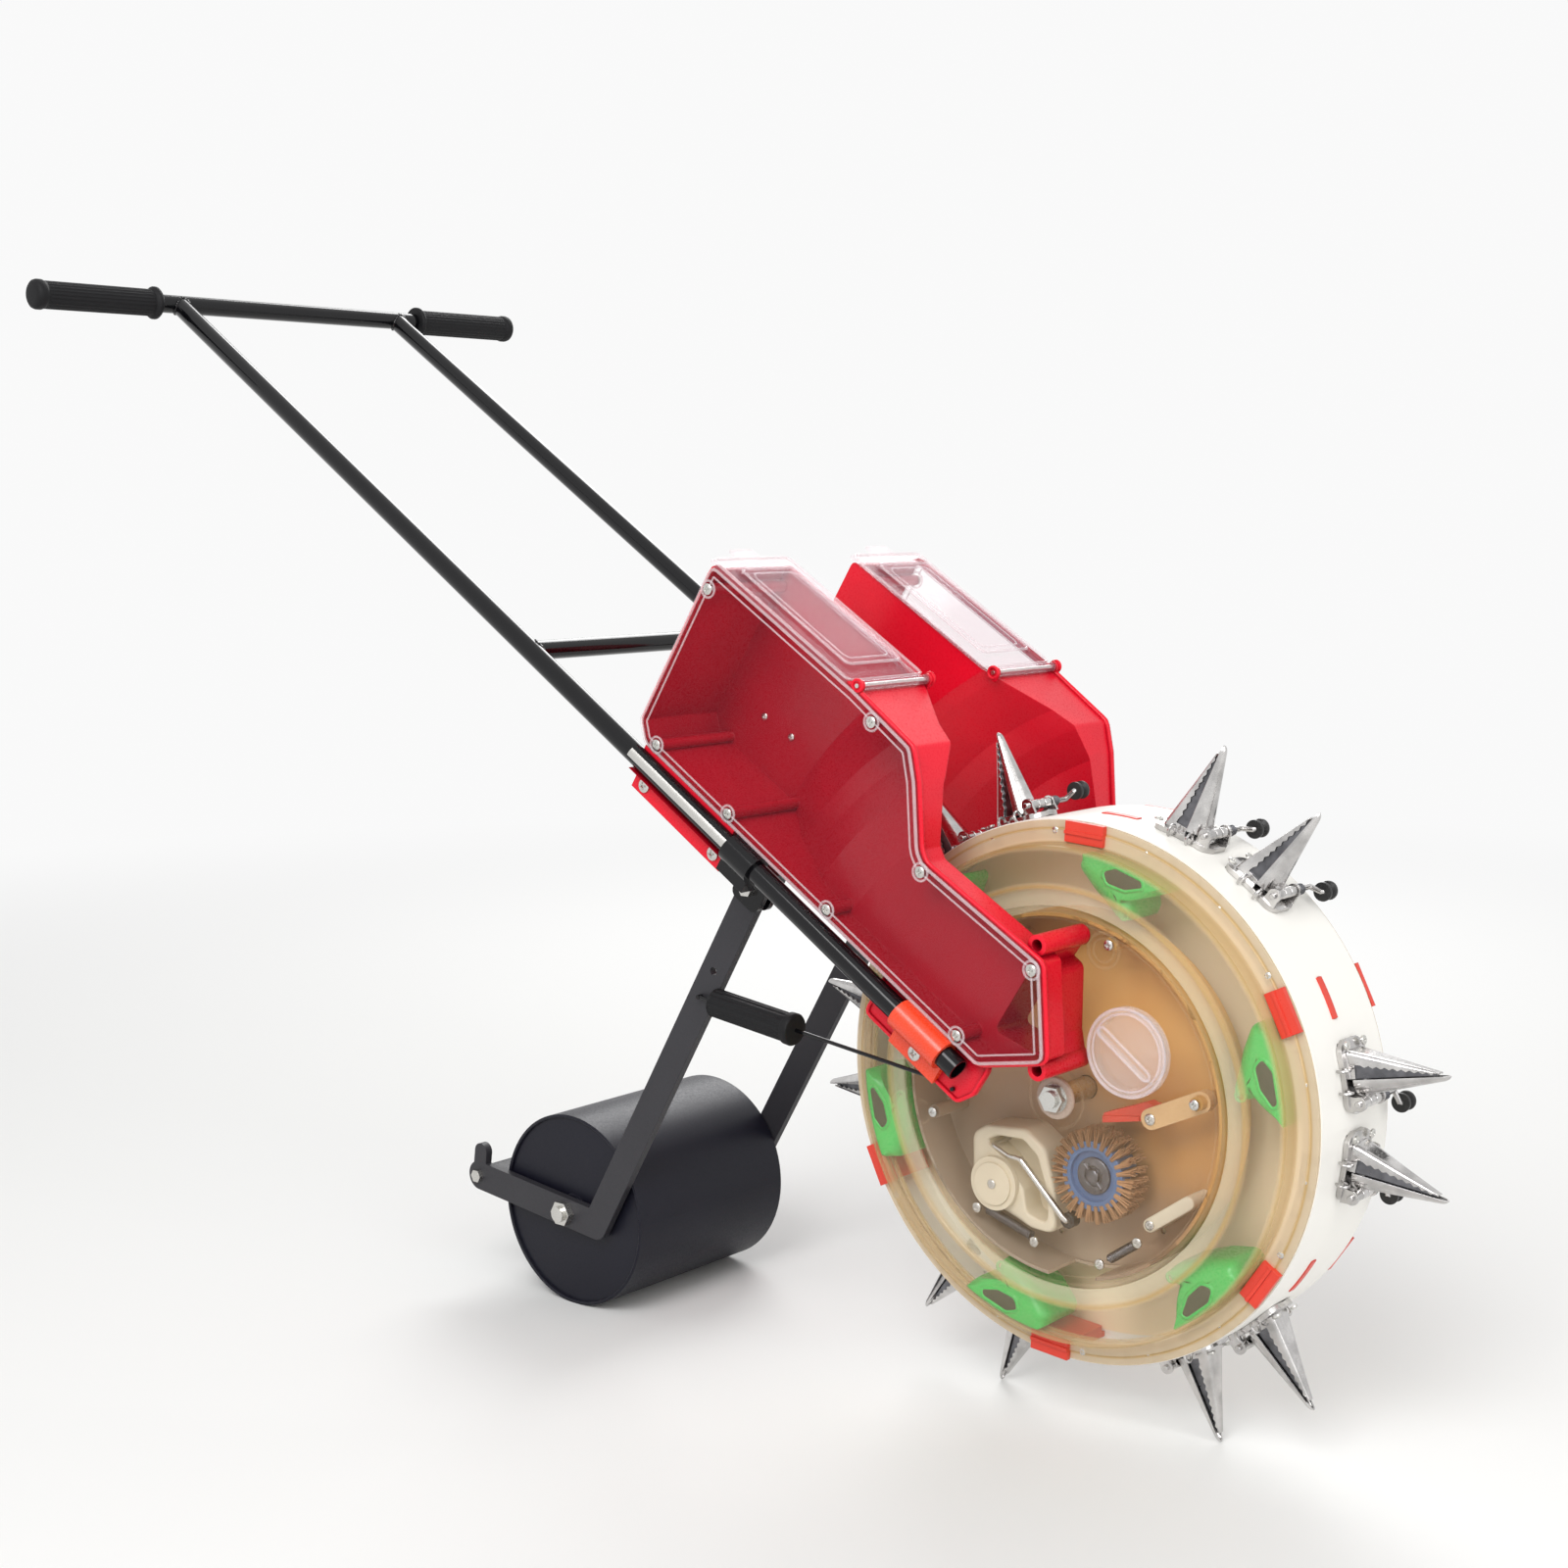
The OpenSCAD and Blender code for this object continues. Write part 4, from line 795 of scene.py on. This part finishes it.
def tab_marks():
    """The end of each near tab where it shows through the drum: a strip that follows the curve."""
    x, z = np.moveaxis(polar(DRUM_R + 0.3, TAB_ANGLE + np.linspace(-4.3, 4.3, 15)[:, None]), -1, 0)
    return round_wheel([plate(grid(x, np.linspace(-11, -3, 5), z), 1.4)])


# Openers, each in its own frame

def every_opener(shape):
    """A shape of one opener at all twelve places."""
    return pile([moved(shape, opener_frame, number) for number in range(OPENERS)])


def on_pin(y):
    """A point of the hinge's line."""
    return HINGE_X, y, HINGE_R


def beak():
    """Half a cone of sheet: its radius narrows to the tip and closes there in a round end."""
    t = np.linspace(0, 1, 48)[:, None]
    radius = BEAK_R + (2.6 - BEAK_R) * t
    radius = radius * np.sqrt(np.clip(1 - (np.maximum(t - 0.93, 0) / 0.0705) ** 2, 0.001, 1))
    turn = np.radians(np.linspace(-92, 92, 25))
    z = BASE_Z + 2.6 + (TIP_R - 0.8 - BASE_Z - 2.6) * t
    return plate(grid(1.4 + radius * np.cos(turn), radius * np.sin(turn), z), 1.5)


def flap_edges(t):
    """At a share t of the flap's height: its height, half width and the place of its back."""
    return BASE_Z - 0.5 + (TIP_R - 8 - BASE_Z) * t, 13.2 + (3.0 - 13.2) * t, -22 + (-1.2 + 22) * t


def flap():
    """The three sided trailing jaw: a channel that narrows to the tip, its walls cut ahead in a row of teeth."""
    t = np.linspace(0, 1, 120)[:, None]
    z, half, back = flap_edges(t)
    saw = np.abs((11 * t) % 1 - 0.5) * 2
    front = back + (0.4 - back) * (0.46 - 0.1 * t) + 1.8 * saw * (t > 0.12) * (t < 0.94)
    front = np.where(t < 0.07, 0.4, front)
    corner = np.minimum(3.0, 0.4 * half)
    turn = np.linspace(0, np.pi / 2, 5)[1:-1]
    left = grid(front + (np.minimum(back + corner, front - 0.2) - front) * np.linspace(0, 1, 9), -half, z)
    bend = grid(back + corner - corner * np.sin(turn), -half + corner - corner * np.cos(turn), z)
    floor = grid(back, (half - corner) * np.linspace(-1, 1, 9), z)
    wall = np.concatenate([left, bend], 1)
    return plate(np.concatenate([wall, floor, wall[:, ::-1] * (1, -1, 1)], 1), 1.2)


def flap_shade_panel(side):
    """The dull inner sheet behind the toothed wall: a flat three cornered plate from the back to the half cone,
    dark with painted shade.
    """
    z, half, back = flap_edges(np.linspace(0.01, 0.97, 24)[:, None])
    x = back + 1.6 + (-0.9 - back) * np.linspace(0, 1, 8)
    return plate(grid(x, side * (half - 1.5), z), 0.8)


def base_plate():
    """A plate that follows the drum, drawn in at its two ends."""
    x = np.linspace(-31, 29, 31)[:, None]
    v = np.linspace(-1, 1, 21)
    half = 20 * (1 - 0.55 * np.clip((np.abs(x + 1) - 20) / 10, 0, 1) ** 2.2)
    z = np.sqrt((DRUM_R + 2.6) ** 2 - x ** 2) + 0.9 * np.clip(1 - np.abs(v) * 1.2, 0, 1)
    return plate(grid(x, half * v, z), 4.6)


def ear(y):
    """A hinge ear: a plate with a round top that stands on the base plate."""
    top = (HINGE_X, HINGE_R) + polar(6, np.linspace(-20, 200, 15))
    line = np.concatenate([[[HINGE_X + 6.5, BASE_Z - 2]], top, [[HINGE_X - 6.5, BASE_Z - 2]]])
    return moulded(line, y, y + 3, 0.5, 1, 2)


def bolt_loop(x, y):
    """A bent wire loop beside the base plate."""
    turn = np.radians(np.linspace(-60, 240, 25))
    path = grid(x, y + 5 * np.cos(turn), DRUM_R + 5 + 5 * np.sin(turn))
    return tube(path, 1.3, 8, False, (1, 0, 0))


def opener_bases():
    """The twelve trailing jaws with their base plates, hinge ears and bolt loops."""
    loops = [bolt_loop(-8, -22), bolt_loop(10, -22), bolt_loop(-14, 22)]
    return every_opener(pile([flap(), base_plate(), ear(15), ear(-18)] + loops))


def moving_jaw():
    """The leading half cone with its hinge barrel in three knuckles, the pin and the bent link to its foot."""
    knuckles = [straight(on_pin(y), on_pin(y + 8.8), 4.6) for y in (-14.2, -4.4, 5.4)]
    x = np.linspace(13.5, HINGE_X - 3.5, 6)[:, None]
    web = plate(grid(x, np.linspace(-9, 9, 9), BASE_Z + 9.5 - 5.0 * np.linspace(0, 1, 6)[:, None] ** 2), 1.6)
    link = tube([on_pin(40), on_pin(42.4), (HINGE_X + 4, 42.8, HINGE_R + 1.5), (FOOT[0], 42.8, FOOT[1]),
                 (FOOT[0], 43.5, FOOT[1] + 0.2)], 2.4, 12, False, (0.3, 0.2, -1))
    pin = straight(on_pin(-21), on_pin(43), 2.6)
    return pile([beak(), web, pin, link] + knuckles)


def jaw_foot():
    """A spool: a waisted roller turned about its pin."""
    profile = [[0.4, 43], [8, 43.2], [8.2, 44], [8, 46.2], [5.2, 47.2], [5, 49.5], [5.2, 52], [8, 53.2], [8.2, 55],
               [8, 55.8], [0.4, 56]]
    return turned(profile, 28, FOOT, closed=False)


def hinge_springs():
    """A torsion spring on each hinge pin, with a leg on the base plate."""
    coil = helix(on_pin(19), on_pin(27), 4.2, 5, 0.75)
    leg = tube([[HINGE_X - 4.2, 19, HINGE_R], [HINGE_X - 10, 18.8, BASE_Z + 2], [HINGE_X - 16, 18.6, BASE_Z + 0.8]],
               0.75, 7)
    return every_opener(pile([coil, leg]))


# Still pieces inside the wheel

SPRING_POSTS = [[-88, -114], [-27, -133], [40, -139], [77, -113]]
HOUSING = [[-99, -50], [-84, -40], [-41, -37], [-20, -52], [-11, -87], [-10, -126], [-36, -125], [-86, -107],
           [-99, -95]]
HOUSING_HOLLOW = [[-84, -54], [-70, -48], [-44, -47], [-29, -60], [-19, -90], [-18, -118], [-40, -112], [-44, -92],
                  [-62, -68]]
HOUSING_MIDDLE = (-38, -72)


def lever_springs():
    """Two close wound springs between their posts."""
    shapes = []
    for first, turns in ((0, 27), (2, 17)):
        start, end = raise_line(SPRING_POSTS[first:first + 2], -66)
        along = unit(end - start)
        shapes.append(helix(start + along * 3.6, end - along * 3.6, 3.5, turns, 0.88, 4.0))
    return pile(shapes)


def brush_tufts():
    """Strands in tufts round the core: thin three sided spikes that lean a little apart from a tuft's root."""
    tufts, rows, strands = 26, 7, 9
    seed = np.random.default_rng(5)
    angle = (np.arange(tufts) * 2 * np.pi / tufts)[:, None, None]
    y = np.linspace(-71.5, -50, rows)[:, None]
    shape = (tufts, rows, strands)
    root = angle + seed.uniform(-0.05, 0.05, shape)
    tip = angle + (root - angle) * 1.4 + seed.uniform(-0.02, 0.02, shape)
    root_y, tip_y = y + seed.uniform(-2, 2, shape), y + seed.uniform(-3, 3, shape)
    reach = seed.uniform(39.8, 41.2, shape)
    corner = np.arange(3)[:, None] * 2 * np.pi / 3

    def ring(radius, turn, along, thick):
        """Three points round a strand at a radius."""
        flat = grid(-np.sin(turn), 0, np.cos(turn))
        middle = grid(BRUSH[0] + radius * np.cos(turn), along, BRUSH[1] + radius * np.sin(turn))
        around = np.cos(corner) * flat[..., None, :] + np.sin(corner) * np.array([0, 1.0, 0])
        return (middle[..., None, :] + thick * around).reshape(-1, 3, 3)

    on_face = np.broadcast_to(np.arange(rows)[:, None] == 0, shape)
    root_y = np.where(on_face, np.minimum(root_y, -72.6), root_y)
    base = ring(np.where(on_face, 25.5, 29.0), root, root_y, 0.95)
    end = ring(reach, tip, tip_y, 0.6)
    return pile([surface(strand) for strand in np.stack([base, end], 1)])


def brush_plate():
    """A pressed metal plate in the core's recess with a domed bolt and a cross pin."""
    profile = [[0.3, -67.5], [16, -67.5], [16, -70.4], [14.8, -71.2], [9, -71.2], [8, -70.2], [6.4, -70.2],
               [6.2, -73], [4.5, -74.2], [0.3, -74.4]]
    x, z = BRUSH
    pin = straight((x - 9, -71.4, z + 10), (x + 9, -71.4, z - 10), 1.5)
    return pile([turned(profile, 48, BRUSH, closed=False), pin])


def lever_wire():
    """The bent lever: a stem along y, a thin bent run and a thicker straight run to the knob."""
    bends = np.array([[-74, -36, -55.5], [-74, -64, -55.5], [-73.6, -67.6, -55.7], [-71.5, -69, -56.6],
                      [-58, -69, -62.2], [-55, -69, -63], [-47, -69, -63.4], [-43.5, -69, -64], [-41, -69, -66.5],
                      [0, -69, -107], [2.4, -68.2, -109.4], [3, -66, -110], [3, -61, -110]])
    ends = np.concatenate([[0], np.cumsum(np.linalg.norm(np.diff(bends, axis=0), axis=1))])
    at = np.sort(np.concatenate([np.linspace(0, ends[-1], 90), ends]))
    path = np.stack([np.interp(at, ends, bends[:, k]) for k in range(3)], -1)
    path = path[np.concatenate([[True], np.diff(at) > 1e-6])]
    count = len(path)
    thick = np.interp(np.arange(count), [0, 0.35 * count, 0.5 * count, count - 1], [1.7, 1.7, 2.9, 2.9])
    return tube(path, thick, 12, False, unit((0.6, 0.1, 0.8)))


def rays(line, middle, count):
    """An outline's points at equal angles round a middle that sees all of it."""
    gap = spread(line, 0.4) - middle
    turn = np.arctan2(gap[:, 1], gap[:, 0]) % (2 * np.pi)
    order = np.argsort(turn)
    reach = np.interp(full_turn(count), turn[order], np.linalg.norm(gap, axis=1)[order], period=2 * np.pi)
    return middle + reach[:, None] * np.stack(ring_of(count), -1)


def meter_body():
    """The meter's housing, drawn forward with a rounded edge, over its rim and down into the hollow; and the short
    bar beside it."""
    outer = rays(corner_round(HOUSING, 14), HOUSING_MIDDLE, 160)
    inner = rays(corner_round(HOUSING_HOLLOW, 7), HOUSING_MIDDLE, 160)
    turn = np.linspace(0, np.pi / 2, 6)
    levels = [raise_line(outer, -32.0)]
    levels += [raise_line(outer + (inner - outer) * 0.3 * (1 - np.cos(a)), -62 - 4 * np.sin(a)) for a in turn]
    levels += [raise_line(inner + (outer - inner) * 0.25 * (1 - np.sin(a)), -63 - 3 * np.cos(a)) for a in turn]
    levels.append(raise_line(inner, -42.0))
    post = moulded(bar_line((80, -101), (117, -75), 6), 32, 60, 1.6)
    return pile([surface(levels), post])


def chamber_heads():
    """The bright heads round the still disc, on the posts, the meter cap and the wiper."""
    posts = [[52, 137], [-132, -34], [134, 15], [-60, 128]]
    near = [(SPRING_POSTS, 73.2, 4.5), ([[-72, -90]], 73, 4.2), ([[86, -7]], 68, 5), ([[81, -100.3]], 60, 4.2)]
    return pile([screw_rows([(posts, FACE_Y, 4.4)]), screw_rows(near, sides=SIDES[:1])])


def disc_rings():
    """Raised rings moulded on the still disc: round a plug, round the axle and at the disc's edge."""
    plug, axle = (47, 132), (0, 0)
    return bead_rings([(plug, 15, 40, 1.4), (plug, 10, 32, 1.0), ((-146, -36), 11, 32, 1.2), (axle, 27, 64, 1.4),
                       (axle, DISC_R - 2, 160, 1.3), (axle, DISC_R - 9, 160, 0.7)], -FACE_Y)


def cap_rims():
    """Beads on the turning cap: round its rim, inside it and along both sides of its grip bar."""
    bar = bar_line(CAP + polar(CAP_R - 12, 143), CAP + polar(CAP_R - 12, -37), 4.2)
    top = FACE_Y + 8
    rings = bead_rings([(CAP, CAP_R - 1.3, 72, 1.5), (CAP, CAP_R - 5.6, 64, 1.0)], -top)
    return pile([rings, loop_bead(spread(bar, 2.5), -top - 3.6, 1.2)])


def axle_bosses():
    """A rounded collar over the washer of each axle nut."""
    profile = [[12.3, 0.1], [18.6, 0.1], [18.6, 1.8], [17.8, 3.0], [15.5, 3.4], [13.2, 3.2], [12.3, 2.6]]
    return pile([turned(np.add(profile, (0, FACE_Y)) * (1, side), 48) for side in SIDES])


# Press roller

ARM_TOP = tube_frame((-345, 0, -40))
ARM_KNEE = np.array([ROLLER[0] + 43, 0, ROLLER[1] - 5])
STAY_FROM = ARM_TOP + 0.305 * (ARM_KNEE - ARM_TOP) - (0, 119, 0)
STAY_TO = tube_frame((-58, -132, -26))
SLEEVE_LEN = 106.0


def roller_beads():
    """The weld beads that join the roller's barrel to its end plates."""
    ripple = 1.3 + 0.25 * np.sin(48 * full_turn(160))
    line = circle(ROLLER, ROLLER_R - 2.2, 160)
    return pile([loop_bead(line, side * (ROLLER_HALF - 0.8), ripple) for side in SIDES])


def stay_sleeve():
    """The ridged rubber sleeve on the stay wire."""
    along = unit(STAY_TO - STAY_FROM)
    foot = [(0, 2.2, 0), (0.2, 9, 0), (1.5, 12.5, 0), (3, 13.8, 0), (5, 13, 1)]
    head = [(13, 13, 1), (10, 13, 0), (8.5, 15, 0), (2.5, 15.2, 0), (0.6, 14, 0), (0, 10, 0), (0, 2.2, 0)]
    return ridged_sleeve(foot, head, SLEEVE_LEN, 18, 0.7, STAY_FROM + 20 * along, along, (0, 1, 0))


# Dressing

piece("handle_welds", handle_welds(), "frame", "black_paint")
piece("bar_grips", pile([bar_grip(side) for side in SIDES]), "frame", "grip_rubber", ["grips"])
for side, word in zip(SIDES, ("near", "far")):
    piece(word + "_cover_rim", moved(cover_rims(side), tube_frame), "frame", "clear_plastic", look="rim_clear_highlight")
    piece(word + "_hopper_lip", moved(hopper_trim(side), tube_frame), "frame", "red_plastic")
    piece(word + "_lid_frame", moved(lid_frame(side), tube_frame), word + "_lid", "clear_plastic", look="rim_clear_highlight")
    piece(word + "_ring_shell", ring_shell(side), "wheel", "amber_clear", [word + "_ring"], "ring_plastic")
# Bright zinc strips on the tubes over the saddles: painted highlight.
piece("saddle_highlights", moved(saddle_highlights(), tube_frame), "frame", "zinc")
piece("cover_screw_heads", hopper_screws(), "frame", "zinc", ["hopper_screws"])
piece("rim_screw_heads", rim_heads(), "wheel", "zinc", ["rim_screws"])
piece("seed_scoops", seed_guides(), "wheel", "green_plastic", ["seed_guides"])
piece("scoop_mouth_shades", guide_mouth_shades(), "wheel", "green_plastic", look="scoop_painted_shade")
piece("tab_marks", tab_marks(), "wheel", "tab_red")
piece("opener_bases", opener_bases(), "wheel", "sheet_steel", ["fixed_jaws"], smooth=30)
shade_panels = every_opener(pile([flap_shade_panel(side) for side in SIDES]))
piece("opener_shade_panels", shade_panels, "wheel", "sheet_steel", look="panel_steel")
piece("hinge_springs", hinge_springs(), "wheel", "spring_steel", ["jaw_springs"])
for number in range(OPENERS):
    label = "%02d" % (number + 1)
    jaw = moved(moving_jaw(), opener_frame, number)
    piece("opener_beak_" + label, jaw, "jaw_" + label, "sheet_steel", ["moving_jaw_" + label], smooth=30)
    piece("opener_foot_" + label, moved(jaw_foot(), opener_frame, number), "jaw_" + label, "knob_black")
piece("meter_springs", lever_springs(), "frame", "spring_steel", ["lever_springs"])
piece("brush_tufts", brush_tufts(), "brush", "bristle", ["brush_bristles"])
piece("brush_plate", brush_plate(), "brush", "zinc", look="panel_steel")
piece("lever_wire", lever_wire(), "lever", "zinc", ["wire_lever"])
piece("meter_body", meter_body(), "frame", "cream_plastic", ["meter_housing"])
piece("chamber_screw_heads", chamber_heads(), "frame", "zinc", ["chamber_screws"])
piece("disc_rings", disc_rings(), "frame", "amber_clear")
piece("cap_rims", cap_rims(), "cap", "clear_plastic", look="rim_clear_highlight")
piece("axle_bosses", axle_bosses(), "frame", "amber_plastic", look="boss_plastic")
piece("roller_beads", roller_beads(), "roller", "roller_paint")
piece("stay_sleeve", stay_sleeve(), "frame", "grip_rubber", ["stay_grip"])


# Camera: the photograph's view, found from the wheel's circles and the tubes, and the studio
SENSOR = 36
FOCAL = 2296.4 / 1600 * SENSOR
VIEW_TURN = np.radians([41.1, 7.5, -0.3])
VIEW_OFFSET = (282.8, -258.6)
VIEW_DISTANCE = 1968.2
LEVEL = np.radians(1.5)
FLOOR_REACH = 30.0


def posed(name, data, across, up, back, place):
    """An object in the scene with its three axes and its place."""
    obj = shown(name, data)
    turn = np.eye(4)
    turn[:3] = np.stack([across, up, back, place], 1)
    obj.matrix_world = Matrix(turn.tolist())
    return obj


def make_camera():
    """The camera that took the photograph, turned so that the ground is level."""
    (az_c, el_c, roll_c), (az_s, el_s, roll_s) = np.cos(VIEW_TURN), np.sin(VIEW_TURN)
    toward, right = np.array([[az_s * el_c, -az_c * el_c, el_s], [az_c, az_s, 0]])
    up = np.cross(toward, right)
    across, upward = roll_c * right - roll_s * up, roll_s * right + roll_c * up
    place = VIEW_DISTANCE * toward - VIEW_OFFSET[0] * across - VIEW_OFFSET[1] * upward
    across, upward, toward, place = pitched([across, upward, toward, place], np.cos(LEVEL), np.sin(LEVEL))
    data = bpy.data.cameras.new("camera")
    data.lens = FOCAL
    data.sensor_width = SENSOR
    data.clip_end = 100
    bpy.context.scene.camera = posed("camera", data, across, upward, toward, row_frame(place))


def make_light(name, place, aim, size, power):
    """A soft square lamp at a place, in metres, that looks at an aim."""
    data = bpy.data.lights.new(name, "AREA")
    data.size = size
    data.energy = power
    back = unit(np.subtract(place, aim))
    side = unit(np.cross((0, 0, 1), back))
    posed(name, data, side, np.cross(back, side), back, place)


def floor_finish():
    """A pale matt floor that turns to plain white away from the object, so that no horizon shows."""
    tree, shade = shader("floor")
    feed(shade, {"Base Color": (0.82, 0.82, 0.81, 1), "Roughness": 0.8})
    far = between(tree, length_of(tree, own_place(tree)), 1.0, 4.0, "SMOOTHSTEP")
    white = added(tree, "ShaderNodeEmission", {"Strength": 0.95})
    mix = added(tree, "ShaderNodeMixShader", {"Fac": far, 1: shade.outputs["BSDF"], 2: white.outputs["Emission"]})
    feed(tree.nodes["Material Output"], {"Surface": mix.outputs["Shader"]})


def make_studio():
    """A pale floor, an even pale surround and three soft lamps."""
    world = bpy.data.worlds.new("surround")
    world.use_nodes = True
    tree = world.node_tree
    path = tree.nodes.new("ShaderNodeLightPath").outputs
    seen = path["Is Camera Ray"]
    for ray in ("Is Transmission Ray", "Is Glossy Ray"):
        seen = added(tree, "ShaderNodeMath", {0: seen, 1: path[ray]}, "MAXIMUM").outputs[0]
    strength = added(tree, "ShaderNodeMapRange", {"Value": seen, "To Min": 0.42, "To Max": 0.95})
    feed(tree.nodes["Background"], {"Color": (1, 1, 1, 1), "Strength": strength.outputs["Result"]})
    bpy.context.scene.world = world
    mesh = bpy.data.meshes.new("floor")
    corners = [(x * FLOOR_REACH, y * FLOOR_REACH, 0) for x, y in ((-1, -1), (1, -1), (1, 1), (-1, 1))]
    mesh.from_pydata(corners, [], [(0, 1, 2, 3)])
    floor_finish()
    mesh.materials.append(looks["floor"])
    floor = shown("floor", mesh)
    make_light("key", (1.2, -3.2, 3.2), (0.1, 0, 0.5), 2.2, 120)
    make_light("fill", (3.4, -1.0, 1.8), (0.2, 0, 0.4), 2.5, 45)
    make_light("back", (-1.5, 2.6, 2.6), (0, 0, 0.5), 2.0, 70)
    bpy.context.scene.view_settings.view_transform = "Standard"


make_camera()
make_studio()
